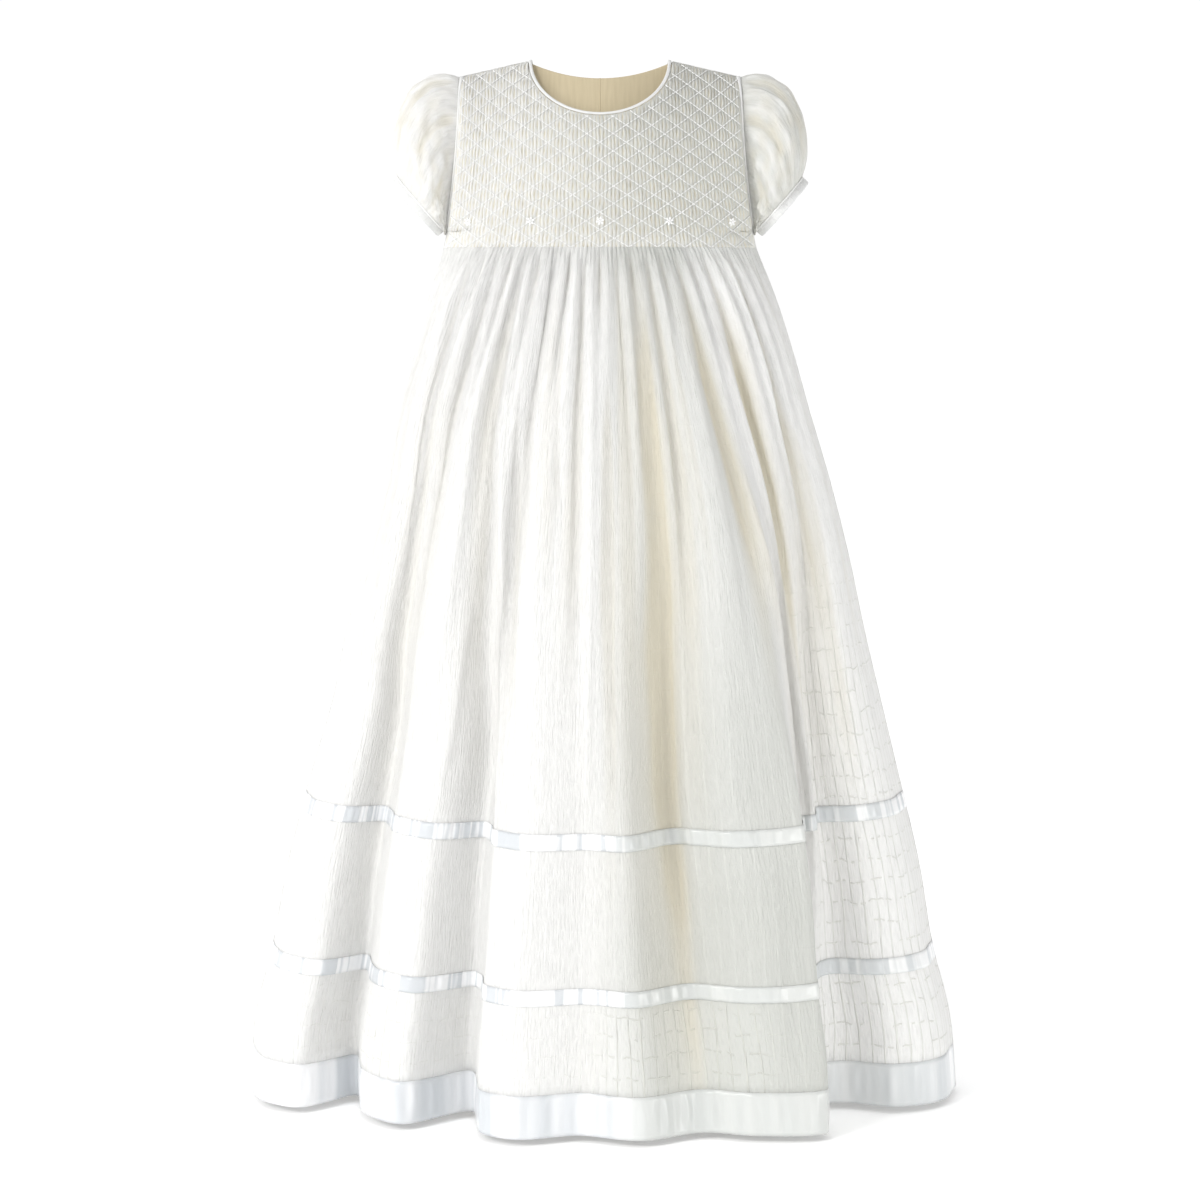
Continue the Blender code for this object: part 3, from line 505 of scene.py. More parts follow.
def bodice_point(part, height, side):
    """The bodice's plain outside at a column (-1 to 1) and a height, in front (-1) or behind (1)."""
    across = spread(part) * half_width(height)
    return np.stack([across, side * body_depth(across, height), height + 0 * across], -1)


def bodice_normal(part, height, side):
    """Outward: the step down crossed with the step to the viewer's right, each taken over a hair's breadth."""
    hair = 1e-3
    down = bodice_point(part, height - hair, side) - bodice_point(part, height + hair, side)
    right = bodice_point(part + hair, height, side) - bodice_point(part - hair, height, side)
    return unit(np.cross(down, -side * right))


print("half width at the smocking's foot:", round(float(half_width(SMOCKING_FOOT)), 4))

# %% [markdown]
# ## The smocked front
# Smocking gathers cloth into fine even pleats and holds them with stitches across their tops. Here the stitches run
# in slanting lines both ways, so they cut the front into diamonds that puff out between them. The relief is a
# product of two sines, zero on both sets of lines, plus a rounded wave for the pleats, which sway from row to row
# because each stitch draws a pair of them together.

# %% Smocked relief
PLEATS = 3.5  # pleats in half a diamond
PLEAT_DEEP = 0.0016
PLEAT_SWAY = 0.07  # sideways, as a share of a pleat
PLEAT_WOBBLE = 0.10  # the same, less regular
PLEAT_LEVEL = 0.8  # the pleats' mean, taken off so that they swing both ways
STITCH_LINE = 0.35  # depth of the pleats under the stitches, as a share of their depth between them
PLEAT_RUN = 0.032  # distance over which the smocking's pleats run out into the skirt


def lattice(part, height):
    """Numbers of the rising and falling stitch lines: even on a line, odd in the middle of a diamond."""
    column, row = part * HALF_COLUMNS, (height - SMOCKING_FOOT) / ROW
    return column - row, column + row


def puff(part, height):
    """1 in the middle of a diamond and 0 on its sides: the sine of one line number times that of the other."""
    rising, falling = lattice(part, height)
    return np.abs(np.sin(math.pi / 2 * rising) * np.sin(math.pi / 2 * falling))


def pleat(part, height):
    """The top of each pleat is round and the gap between two is narrow: 1 less the third power of the offset."""
    count = part * HALF_COLUMNS * PLEATS
    sway = PLEAT_SWAY * np.sin(math.pi * (height - SMOCKING_FOOT) / ROW + 2.4 * np.floor(count))
    sway = sway + PLEAT_WOBBLE * np.sin(310 * height + 5 * part) * np.sin(23 * part + 130 * height)
    offset = 2 * (count + sway - np.floor(count + sway)) - 1
    return 1 - np.abs(offset) ** 3


def smocked_relief(part, height, top):
    """The diamonds' puff and, deeper where they puff, the pleats; all of it dies out at the edges.

    Under the smocking's foot the puff of the last half diamonds fades first, and the pleats run out after it."""
    below = np.maximum(SMOCKING_FOOT - height, 0.0)
    swell = puff(part, np.maximum(height, SMOCKING_FOOT)) ** 0.7 * (1 - soft_step(below, 0.0, 0.010))
    pleats = STITCH_LINE + (1 - STITCH_LINE) * swell
    pleats = pleats * (1 - soft_step(below, 0.0, PLEAT_RUN)) + 0.25 * window(below, 0.0, 0.004, 0.004, PLEAT_RUN)
    edge = soft_step(top - height, 0.0, ROW * 0.8) * soft_step(1 - np.abs(part), 0.0, 0.05)
    return edge * (RELIEF * swell + PLEAT_DEEP * (pleat(part, height) - PLEAT_LEVEL) * pleats)


print("pleats across the front:", int(2 * HALF_COLUMNS * PLEATS))

# %% Smocked front panel
FRONT_ACROSS = 504
FRONT_DOWN = 154
BACKING_STEP = 14  # points of the outside for each point of the plain inside
SMOCKED_WALL = 0.0011
SMOCKED_CUT = 0.42  # half the width of the pleated cloth, spread flat


def bodice_grid(part, rows, drop, side):
    """A grid whose columns run from the top edge down to the smocking's foot; returns points, heights and tops."""
    across = spread(part) * SHOULDER_HALF
    top = top_edge(across, drop)
    height = SMOCKING_FOOT + np.linspace(1, 0, rows)[:, None] * (top - SMOCKING_FOOT)
    return bodice_point(part[None, :], height, side), height, top


def rim(fine, coarse):
    """Faces with many corners that join a fine edge to a coarse one, each seen in the way its own wall runs."""
    step = (len(fine) - 1) // (len(coarse) - 1)
    starts = np.arange(len(coarse) - 1) * step
    near = fine[starts[:, None] + np.arange(step, -1, -1)]
    return np.hstack([near, coarse[:-1, None], coarse[1:, None]])


def closed_wall(outer, inner):
    """Faces of a wall with a fine outside and a coarse inside, closed all round."""
    rows, columns = outer.shape[:2]
    fine = np.arange(rows * columns).reshape(rows, columns)
    coarse = fine.size + np.arange(inner.shape[0] * inner.shape[1]).reshape(inner.shape[:2])
    edges = [
        (fine[:, 0], coarse[:, 0]), (fine[-1], coarse[-1]),
        (fine[::-1, -1], coarse[::-1, -1]), (fine[0, ::-1], coarse[0, ::-1]),
    ]
    lining = quads(*inner.shape[:2])[:, ::-1] + fine.size
    return [quads(rows, columns), lining] + [rim(a, b) for a, b in edges]


def walls(outside, lining):
    """The values of the outside's points, then those of the lining's."""
    return np.concatenate([outside.reshape(-1, *outside.shape[2:]), lining.reshape(-1, *outside.shape[2:])])


LINING = np.s_[::BACKING_STEP // 2, ::BACKING_STEP]
part = np.linspace(-1, 1, FRONT_ACROSS + 1)
plain, height, top = bodice_grid(part, FRONT_DOWN + 1, FRONT_NECK_DROP, -1)
normals = outward(plain)
outer = plain + normals * smocked_relief(part[None, :], height, top[None, :])[..., None]
inner = (plain - normals * SMOCKED_WALL)[LINING]
flat = np.stack([np.broadcast_to(part * SMOCKED_CUT, height.shape), -height], -1)
swell = puff(part[None, :], height)
# Painted warm shade in the gaps between pleats, deeper where the diamonds puff
valley = np.clip(1 - pleat(part[None, :], height), 0, 1) * (0.36 + 1.10 * swell) + 0.06 * swell
# Painted grey shade, growing to the right, away from the window, and weaker near the foot
away = (0.10 + 0.84 * soft_step(part, -0.80, 0.45)) * (0.55 + 0.45 * soft_step(height - SMOCKING_FOOT, 0.0, 0.016))
marks = {"warm_shade": walls(valley, 0 * valley[LINING]), "grey_shade": walls(away, away[LINING])}
smocked_front = new_piece("smocked_front", walls(outer, inner), closed_wall(outer, inner),
                          walls(flat, flat[LINING]), marks=marks, crisp=4)
dress(smocked_front, SMOCKED_VOILE, ["front_panel"])
print("smocked front:", len(smocked_front.data.polygons), "faces")

# %% [markdown]
# ## The smocking stitches
# Embroidery cotton holds one pleat to the next all along each line, so a line is a row of short fat stitches and
# not a smooth cord. Each stitch is a small pod between two neighbouring pleats, and all the pods are one mesh,
# made from one template that is stretched, turned and placed by arrays.

# %% Pods
def pods(centres, along, out, long, wide, high, around=6, rings=4):
    """Ellipsoids: a unit sphere's rings and poles, stretched along, sideways and outward, at every centre."""
    rise = np.linspace(1, -1, rings + 2)
    rise[1:-1] *= 0.86
    points, faces = turned(np.stack([np.sqrt(1 - rise**2), rise], -1), around)
    shape = points[:, [2, 0, 1]]
    sizes = [np.broadcast_to(np.asarray(size, float), len(centres))[:, None, None] for size in (long, wide, high)]
    axes = [axis[:, None, :] for axis in (unit(along), unit(np.cross(out, along)), unit(out))]
    points = centres[:, None, :] + sum(shape[None, :, [k]] * sizes[k] * axes[k] for k in range(3))
    offsets = (np.arange(len(centres)) * len(shape))[:, None, None]
    return points.reshape(-1, 3), [(block[None] + offsets).reshape(-1, block.shape[1]) for block in faces]


STITCH_WIDE = 0.00045
STITCH_HIGH = 0.00045
STITCH_LIFT = 0.0007
STITCH_LONG = 0.58  # half a stitch's length, as a share of the way between two pleats
steps = int(HALF_COLUMNS * PLEATS)
pleat_ends = np.arange(-steps, steps) / steps
lines = np.arange(-HALF_COLUMNS, HALF_COLUMNS + 24, 2)
part, line = np.meshgrid(pleat_ends, lines)


def line_points(offset):
    """(column, height) on all rising and then all falling lines, so many pleats on."""
    place = part + offset / steps
    heights = [SMOCKING_FOOT + ROW * (slope * HALF_COLUMNS * place + line) for slope in (1, -1)]
    return np.concatenate([np.stack([place, height], -1).reshape(-1, 2) for height in heights])


starts, stops = line_points(0.0), line_points(1.0)
middle = (starts + stops) / 2
limit = top_edge(spread(middle[:, 0]) * SHOULDER_HALF, FRONT_NECK_DROP)
inside = (middle[:, 1] > SMOCKING_FOOT) & (middle[:, 1] < limit - 0.0016) & (np.abs(middle[:, 0]) < 0.985)
starts, stops, middle = starts[inside], stops[inside], middle[inside]
normal = bodice_normal(middle[:, 0], middle[:, 1], -1)
along = bodice_point(stops[:, 0], stops[:, 1], -1) - bodice_point(starts[:, 0], starts[:, 1], -1)
centres = bodice_point(middle[:, 0], middle[:, 1], -1) + normal * STITCH_LIFT
half = np.linalg.norm(along, axis=1) * STITCH_LONG
smocking = new_piece("smocking_stitches", *pods(centres, along, normal, half, STITCH_WIDE, STITCH_HIGH))
dress(smocking, THREAD_WHITE)
print("smocking stitches:", len(centres))

# %% [markdown]
# ## The small worked flowers
# Near the foot of the smocking lie five small flowers of looped cotton: six petals round a knot. They are pods
# again, set in a ring on the surface.

# %% Worked flowers
FLOWER_COLUMNS = (-10, -5, 0, 5, 10)
FLOWER_ROW = 3
PETALS = 6
PETAL_OUT = 0.0020
PETAL_LONG = 0.0014
PETAL_LIFT = 0.0013
KNOT_LIFT = 0.0006  # of a flower's middle, above its petals
KNOT_LONG = 0.0009
PETAL_WIDE = 0.0009
PETAL_HIGH = 0.0007
flower_part = np.array(FLOWER_COLUMNS) / HALF_COLUMNS
flower_height = np.full(len(FLOWER_COLUMNS), SMOCKING_FOOT + FLOWER_ROW * ROW)
flower_out = bodice_normal(flower_part, flower_height, -1)
flower_at = bodice_point(flower_part, flower_height, -1) + flower_out * PETAL_LIFT
up = unit(np.array([0.0, 0.0, 1.0]) - flower_out * flower_out[:, 2:])
right = np.cross(up, flower_out)
turn = turns(PETALS) + 0.3
petal_way = right[:, None] * np.cos(turn)[None, :, None] + up[:, None] * np.sin(turn)[None, :, None]
petal_at = (flower_at[:, None] + petal_way * PETAL_OUT).reshape(-1, 3)
centres = np.concatenate([petal_at, flower_at + flower_out * KNOT_LIFT])
along = np.concatenate([petal_way.reshape(-1, 3), up])
out = np.concatenate([np.repeat(flower_out, PETALS, 0), flower_out])
long = np.repeat([PETAL_LONG, KNOT_LONG], [len(petal_at), len(flower_at)])
flowers = new_piece("worked_flowers", *pods(centres, along, out, long, PETAL_WIDE, PETAL_HIGH, around=10, rings=6))
dress(flowers, THREAD_WHITE)
print("worked flowers:", len(FLOWER_COLUMNS))

# %% [markdown]
# ## The form of the skirt
# The skirt is a bell whose sizes are given at a few heights. Under the smocking its cloth stands in small gathers,
# which merge into middle folds and then into four or five large lobes at the hem. Each part fades into the next down
# the skirt, and the tables hold the same sizes as the solids, read here through smooth curves.

# %% Skirt tables
SKIRT_CELLS = 48
HEM = 0.005
BAND_TOP = 0.0375
RIBBON = 0.012
UPPER_RIBBON = 0.231
LOWER_RIBBON = 0.1165
FRONT_DIP = 0.012
EASE = 0.3
EASE_CURVE = 0.7
UNEVEN = 0.3
UNEVEN_TURN = 1.7
MIDDLE_TURN = 0.8
SEAM_FADE = 0.3
KNEE = 0.255
OUTLINE = (
    # height, left, right, front, back, in millimetres
    (637.5, 116.0, 116.0, 73.0, 73.0),
    (600.0, 127.5, 131.0, 86.0, 88.0),
    (560.0, 139.5, 144.0, 97.0, 101.0),
    (520.0, 151.5, 155.5, 106.0, 112.0),
    (464.5, 161.0, 172.0, 117.0, 125.0),
    (410.0, 174.0, 186.0, 125.0, 136.0),
    (350.0, 191.0, 199.0, 133.0, 147.0),
    (300.0, 201.0, 211.0, 139.0, 156.0),
    (255.0, 214.5, 222.0, 146.0, 164.0),
    (170.0, 237.0, 242.0, 157.0, 176.0),
    (116.5, 247.0, 251.0, 163.0, 183.0),
    (60.0, 261.0, 265.0, 169.0, 188.0),
    (5.0, 265.0, 270.0, 174.0, 190.0),
)
FRONT_FOLDS = (
    # along, knee across, knee out, hem across, hem out
    (-1.00, -1.00, 0.00, -1.00, 0.00),
    (-0.88, -0.95, 0.28, -0.95, 0.28),
    (-0.77, -0.84, 0.44, -0.83, 0.41),
    (-0.66, -0.71, 0.37, -0.69, 0.19),
    (-0.57, -0.68, 0.58, -0.66, 0.48),
    (-0.46, -0.54, 0.78, -0.54, 0.71),
    (-0.34, -0.37, 0.68, -0.36, 0.48),
    (-0.22, -0.33, 0.88, -0.32, 0.87),
    (-0.12, -0.21, 1.00, -0.21, 0.98),
    (-0.02, -0.05, 0.96, -0.06, 0.91),
    (0.09, 0.08, 1.03, 0.11, 1.00),
    (0.20, 0.23, 0.80, 0.27, 0.86),
    (0.32, 0.42, 0.96, 0.43, 0.92),
    (0.43, 0.63, 0.84, 0.60, 0.87),
    (0.52, 0.645, 0.61, 0.585, 0.60),
    (0.61, 0.70, 0.61, 0.58, 0.38),
    (0.69, 0.70, 0.42, 0.66, 0.32),
    (0.79, 0.83, 0.42, 0.81, 0.40),
    (0.89, 0.94, 0.28, 0.94, 0.29),
    (1.00, 1.00, 0.00, 1.00, 0.00),
)
BACK_FOLDS = (
    # along, knee across, knee out, hem across, hem out
    (-1.00, -1.00, 0.00, -1.00, 0.00),
    (-0.88, -0.95, 0.32, -0.95, 0.34),
    (-0.76, -0.82, 0.50, -0.81, 0.54),
    (-0.64, -0.69, 0.48, -0.68, 0.36),
    (-0.52, -0.58, 0.80, -0.60, 0.82),
    (-0.40, -0.42, 0.92, -0.43, 0.97),
    (-0.28, -0.29, 0.78, -0.28, 0.66),
    (-0.16, -0.17, 0.97, -0.19, 0.96),
    (-0.04, -0.02, 1.01, -0.03, 1.00),
    (0.08, 0.12, 0.84, 0.11, 0.74),
    (0.20, 0.23, 0.97, 0.22, 0.98),
    (0.32, 0.37, 0.96, 0.38, 0.96),
    (0.44, 0.50, 0.70, 0.50, 0.58),
    (0.56, 0.62, 0.76, 0.61, 0.80),
    (0.68, 0.76, 0.62, 0.76, 0.66),
    (0.80, 0.87, 0.34, 0.86, 0.30),
    (0.90, 0.96, 0.28, 0.96, 0.30),
    (1.00, 1.00, 0.00, 1.00, 0.00),
)
FOLD_GROWTH = (
    # below the smocking, swing of the gathers and of the middle folds, in millimetres, share of the large folds
    (0.0, 0.0, 0.0, 0.0),
    (14.0, 2.0, 0.0, 0.0),
    (38.0, 2.6, 1.0, 0.02),
    (75.0, 2.1, 2.6, 0.08),
    (125.0, 1.3, 3.8, 0.22),
    (185.0, 0.6, 4.0, 0.42),
    (250.0, 0.0, 2.6, 0.66),
    (320.0, 0.0, 1.2, 0.88),
    (382.0, 0.0, 0.4, 1.0),
    (640.0, 0.0, 0.0, 1.0),
)

# %% Skirt form
def through(knots, values, at):
    """A smooth curve through the knots' values: cubic spans whose slopes come from the neighbouring knots."""
    slopes = np.gradient(values, knots, axis=0)
    span = np.clip(np.searchsorted(knots, at, side="right") - 1, 0, len(knots) - 2)
    shape = np.shape(span) + (1,) * (values.ndim - 1)
    length = (knots[span + 1] - knots[span]).reshape(shape)
    u = (at - knots[span]).reshape(shape) / length
    start, end = values[span], values[span + 1]
    lift = slopes[span] * length * (u - 2 * u**2 + u**3) + slopes[span + 1] * length * (u**3 - u**2)
    return start + (end - start) * (3 * u**2 - 2 * u**3) + lift


def read(table, column, at):
    """A column of a table, read smoothly at some values of its first column."""
    rows = np.array(sorted(table))
    return through(rows[:, 0], rows[:, column], np.clip(at, rows[0, 0], rows[-1, 0]))


def swing(part, below, side):
    """How far gathers and middle folds stand out: cosines of the cell number, each with its own growth."""
    cell = (part + 1) / 2 * SKIRT_CELLS
    gathers, middle = (np.maximum(read(FOLD_GROWTH, column, below * 1000), 0.0) for column in (1, 2))
    uneven = 1 + UNEVEN * np.sin(UNEVEN_TURN * cell + side)
    wave = -gathers * np.cos(math.pi * cell) + middle * np.cos(math.pi / 2 * cell + MIDDLE_TURN + side)
    fade = np.sin(math.pi * np.clip(cell, 0.3, SKIRT_CELLS - 0.3) / SKIRT_CELLS) ** SEAM_FADE
    return wave * uneven * fade * soft_step(1 - np.abs(part), 0.0, 0.03) / 1000


def bell(part, below, side):
    """The skirt's form without creases, at columns (-1 to 1) and distances below the smocking, of one shape.

    The plain bell is wide times the sine and deep times the cosine of a turn; the large folds replace it by their
    share, and the gathers and middle folds swing it in and out."""
    height = SMOCKING_FOOT - below
    left, right, front, back = (read(OUTLINE, column, height * 1000) / 1000 for column in (1, 2, 3, 4))
    deep = front if side < 0 else back
    wide = np.where(part < 0, left, right)
    ease = np.clip(below / EASE, 0.0, 1.0) ** EASE_CURVE
    turn = (1 - ease) * np.arcsin(np.clip(spread(part), -1, 1)) + ease * part * math.pi / 2
    across, out = wide * np.sin(turn), deep * np.cos(turn)
    folds = np.array(FRONT_FOLDS if side < 0 else BACK_FOLDS)
    low = np.clip((KNEE - height) / (KNEE - HEM), 0.0, 1.0)
    knee_across, knee_out, hem_across, hem_out = (through(folds[:, 0], folds[:, k], part) for k in (1, 2, 3, 4))
    large = np.clip(read(FOLD_GROWTH, 3, below * 1000), 0.0, 1.0)
    across = (1 - large) * across + large * wide * ((1 - low) * knee_across + low * hem_across)
    out = (1 - large) * out + large * deep * ((1 - low) * knee_out + low * hem_out)
    wave = swing(part, below, side)
    across = across + wave * np.sin(turn)
    out = np.maximum(out + wave * np.cos(turn), 0.0)
    fall = np.clip(below / (SMOCKING_FOOT - HEM), 0.0, 1.0)
    sag = FRONT_DIP * np.sin(math.pi * fall) * np.cos(part * math.pi / 2) ** 1.5
    return np.stack([across, side * out, height - sag], -1)


sample = bell(np.linspace(-1, 1, 961), np.full(961, SMOCKING_FOOT - HEM), -1)
print("front hem measured along its folds:", round(travelled(sample)[-1], 3), "m")

# %% [markdown]
# ## Creases placed one by one
# Between the large folds the voile carries softer creases: sharp little ridges that start in the gathers and run
# out down the skirt, and shallow troughs beside them. Each is one line of a table, in the sizes a dressmaker would
# measure. A ridge is a bell curve across and fades at both ends.

# %% Crease tables
FRONT_CREASES = (
    # column at its top and foot, distance below the smocking at its top and foot, width, depth (trough negative), mm
    (-0.93, -0.90, 20, 300, 7.0, 1.9),
    (-0.86, -0.80, 60, 420, 9.0, -2.2),
    (-0.79, -0.72, 10, 260, 5.0, 2.1),
    (-0.70, -0.64, 30, 350, 6.0, -2.0),
    (-0.63, -0.57, 5, 300, 5.0, 2.4),
    (-0.55, -0.52, 120, 480, 8.0, 2.0),
    (-0.47, -0.48, 40, 330, 5.0, 2.6),
    (-0.43, -0.44, 20, 250, 4.0, -1.8),
    (-0.37, -0.20, 90, 460, 5.0, 3.4),
    (-0.32, -0.16, 70, 430, 5.0, -2.2),
    (-0.27, -0.14, 12, 300, 4.5, 2.0),
    (-0.18, -0.09, 30, 220, 4.0, -1.8),
    (-0.11, -0.07, 10, 330, 4.5, 1.8),
    (-0.03, -0.003, 50, 440, 4.5, 3.2),
    (0.03, 0.06, 60, 460, 7.0, -2.4),
    (0.085, 0.10, 8, 260, 4.0, 2.2),
    (0.13, 0.12, 30, 300, 5.0, 1.8),
    (0.185, 0.205, 8, 640, 9.0, -5.0),
    (0.225, 0.250, 40, 620, 6.0, 3.2),
    (0.30, 0.32, 30, 300, 4.5, -1.6),
    (0.35, 0.37, 10, 340, 4.5, 2.1),
    (0.40, 0.44, 50, 260, 4.0, -1.8),
    (0.435, 0.56, 110, 440, 4.5, 3.2),
    (0.50, 0.60, 20, 330, 5.0, 2.2),
    (0.57, 0.66, 40, 420, 6.0, -2.1),
    (0.64, 0.70, 10, 300, 4.5, 2.2),
    (0.71, 0.76, 30, 380, 6.0, 1.9),
    (0.79, 0.82, 60, 460, 8.0, -2.2),
    (0.87, 0.90, 20, 300, 6.0, 1.9),
    (-0.42, -0.47, 240, 420, 5.0, 2.4),
    (-0.60, -0.56, 330, 600, 9.0, -1.9),
    (-0.30, -0.33, 360, 640, 10.0, 1.8),
    (-0.12, -0.15, 300, 640, 12.0, 1.8),
    (0.05, 0.01, 380, 640, 11.0, -1.8),
    (0.37, 0.35, 390, 640, 9.0, 1.6),
    (0.435, 0.425, 300, 640, 4.0, 2.2),
)
# Folds painted with warm shade inside: the same measures, and the strength of the painted shade at the end
WARM_SHADE_FOLDS = (
    (0.185, 0.205, -10, 720, 8.5, 0.95),
    (0.10, 0.17, 180, 700, 14.0, 0.25),
    (-0.42, -0.38, 20, 420, 7.0, 0.40),
    (-0.22, -0.12, 10, 260, 6.0, 0.35),
    (-0.60, -0.60, 40, 420, 8.0, 0.30),
    (0.40, 0.50, 10, 320, 7.0, 0.45),
    (0.60, 0.62, 20, 330, 9.0, 0.45),
    (-0.68, -0.66, 60, 520, 9.0, 0.35),
)
BACK_CREASES = (
    # column at its top and foot, distance below the smocking at its top and foot, width, depth (trough negative), mm
    (-0.90, -0.87, 15, 320, 7.0, 1.5),
    (-0.80, -0.74, 40, 400, 8.0, -1.6),
    (-0.71, -0.67, 10, 280, 5.0, 1.6),
    (-0.62, -0.60, 60, 380, 6.0, 1.5),
    (-0.54, -0.50, 20, 260, 5.0, -1.5),
    (-0.45, -0.46, 30, 420, 5.0, 1.9),
    (-0.36, -0.31, 10, 240, 4.5, 1.4),
    (-0.27, -0.29, 50, 350, 6.0, -1.5),
    (-0.19, -0.15, 20, 300, 4.5, 1.7),
    (-0.10, -0.06, 80, 440, 5.0, 1.8),
    (-0.02, 0.03, 15, 280, 4.5, -1.5),
    (0.06, 0.10, 40, 330, 5.0, 1.5),
    (0.15, 0.17, 10, 400, 4.5, 1.7),
    (0.24, 0.27, 60, 300, 6.0, -1.6),
    (0.33, 0.30, 25, 360, 4.5, 1.6),
    (0.41, 0.46, 10, 250, 5.0, 1.5),
    (0.50, 0.53, 50, 420, 7.0, -1.7),
    (0.60, 0.63, 20, 320, 5.0, 1.8),
    (0.69, 0.74, 40, 380, 6.0, 1.4),
    (0.79, 0.82, 15, 300, 6.0, -1.5),
    (0.88, 0.90, 30, 340, 7.0, 1.5),
)


SHARP_SIDE = 0.5  # a crease falls off quicker on the side away from the window, by this share of its width


def creases(table, part, below):
    """The sum of all creases: depth times a bell curve of the distance across, times a smooth fade at both ends."""
    total = np.zeros(np.broadcast(part, below).shape)
    girth = 0.26 + 0.60 * below
    for start, stop, top, foot, wide, deep in table:
        travel = (below * 1000 - top) / (foot - top)
        centre = start + (stop - start) * np.clip(travel, 0.0, 1.0)
        across = (part - centre) * girth / 2 / (wide / 1000)
        across = np.where(across > 0, across / SHARP_SIDE, across)
        total = total + deep * window(travel, 0.0, 0.22, 0.6, 1.0) * np.exp(-across**2)
    return total


# %% Skirt surface
def ridges(part, below, side):
    """Narrow ridges on top of the gathers: a bell curve at each whole count, whose places and heights vary."""
    count = part * RIDGES + 0.32 * np.sin(5.1 * part + side) + 0.22 * np.sin(17.0 * part + 2) + 1.2 * part * below
    nearest = np.round(count)
    height = 0.55 + 0.45 * np.sin(12.9898 * nearest + 3 * side)
    reach = 60 + 150 * np.abs(np.sin(7.13 * nearest + side))
    fade = soft_step(below, 0.001, 0.014) * (1 - soft_step(below * 1000, 0.35 * reach, reach))
    return RIDGE_HIGH * height * fade * np.exp(-(((count - nearest) / RIDGE_WIDE) ** 2))


def skirt_relief(part, below, side):
    """Creases, ridges, the last of the smocked pleats in front, and a faint sway of the cloth between folds."""
    table = FRONT_CREASES if side < 0 else BACK_CREASES
    relief = creases(table, part, below) / 1000 + ridges(part, below, side)
    cell = part * SKIRT_CELLS / 2
    sway = np.sin(2.3 * cell + 14 * below) * np.sin(0.9 * cell - 21 * below + side) * soft_step(below, 0.02, 0.2)
    relief = (relief + SWAY * sway) * soft_step(below, 0.0, 0.004)
    relief = relief * soft_step(1 - np.abs(part), 0.0, 0.04)
    if side < 0:
        relief = relief + smocked_relief(part, SMOCKING_FOOT - below, NECK_TOP)
    return relief


RIDGES = 13.5  # in half the skirt's width
RIDGE_HIGH = 0.0016
RIDGE_WIDE = 0.20  # as a share of the way from ridge to ridge
SWAY = 0.0006  # depth of the faint waves between the folds
TUCK = 0.5  # over the seam the skirt goes behind the bodice, at this slope


def seen_from(side, part, below):
    """A mesh of columns and rows; the columns of the back run the other way, seen from behind."""
    return np.meshgrid(part if side < 0 else -part, below)


def skirt_grid(columns, rows, side, lift=0.0):
    """The skirt's finished surface on a mesh of columns and rows, moved out by a lift."""
    grid = bell(columns, rows, side)
    tucked = TUCK * np.maximum(-rows, 0.0)
    return grid + outward(grid) * (skirt_relief(columns, rows, side) + lift - tucked)[..., None]


def cut_width(side, height=HEM):
    """The distance along the folds at a height, the hem's unless told, for each of many columns."""
    part = np.linspace(-1, 1, 1921)
    return part, travelled(bell(-side * part, np.full(part.shape, SMOCKING_FOOT - height), side))


HEM_WALK = {side: cut_width(side) for side in (-1, 1)}


def skirt_flat(part, below, side):
    """The place on the cut cloth of each point of a grid: along the hem, and down from the smocking."""
    columns, rows = np.meshgrid(np.interp(part, *HEM_WALK[side]), below)
    return np.stack([columns, -rows], -1)


# %% [markdown]
# ## The skirt panels
# Both panels are fine grids, closer together in rows near the gathers, where the form changes quickly. The beige
# of the deep folds is painted warm shade, placed by the form itself: a point that lies behind the smooth bell of
# the skirt is sunk in a fold, and the further behind it lies the warmer its mark. The painted backlight and the
# painted grey shade are windows across and down, placed by the photo.

# %% Skirt panels
SKIRT_ACROSS = SKIRT_CELLS * 8
SKIRT_ROWS = 88
SKIRT_LONG = SMOCKING_FOOT - BAND_TOP + 0.0005
BELL_SHARE = 0.985  # of the plain bell's reach; what lies behind it is in a hollow
HOLLOW_DEEP = 0.012  # the depth behind the bell at which the painted warm shade is strongest


def warm_shade_mark(columns, rows, side):
    """Painted warm shade of the hollows: between the gathers, in troughs, and where a point lies behind the plain
    bell.
    """
    height = (SMOCKING_FOOT - rows) * 1000
    deep = read(OUTLINE, 3 if side < 0 else 4, height) / 1000
    wide = np.where(columns < 0, read(OUTLINE, 1, height), read(OUTLINE, 2, height)) / 1000
    point = bell(columns, rows, side)
    reach = np.hypot(point[..., 0] / wide, point[..., 1] / deep)
    behind = np.clip((BELL_SHARE - reach) * deep / HOLLOW_DEEP, 0.0, 1.0)
    between = soft_step(-swing(columns, rows, side), 0.0003, 0.0035)
    trough = soft_step(-skirt_relief(columns, rows, side), 0.0003, 0.002)
    upper = 1 - soft_step(rows, 0.22, 0.5)
    warm = (0.30 * behind + 0.32 * between + 0.30 * trough) * (0.12 + 0.88 * upper)
    if side < 0:
        # In front, painted warm shade in the listed folds, weaker towards the window on the left
        warm = (warm + creases(WARM_SHADE_FOLDS, columns, rows)) * (0.30 + 0.70 * soft_step(columns, -0.25, 0.05))
    return np.clip(warm, 0.0, 1.0)


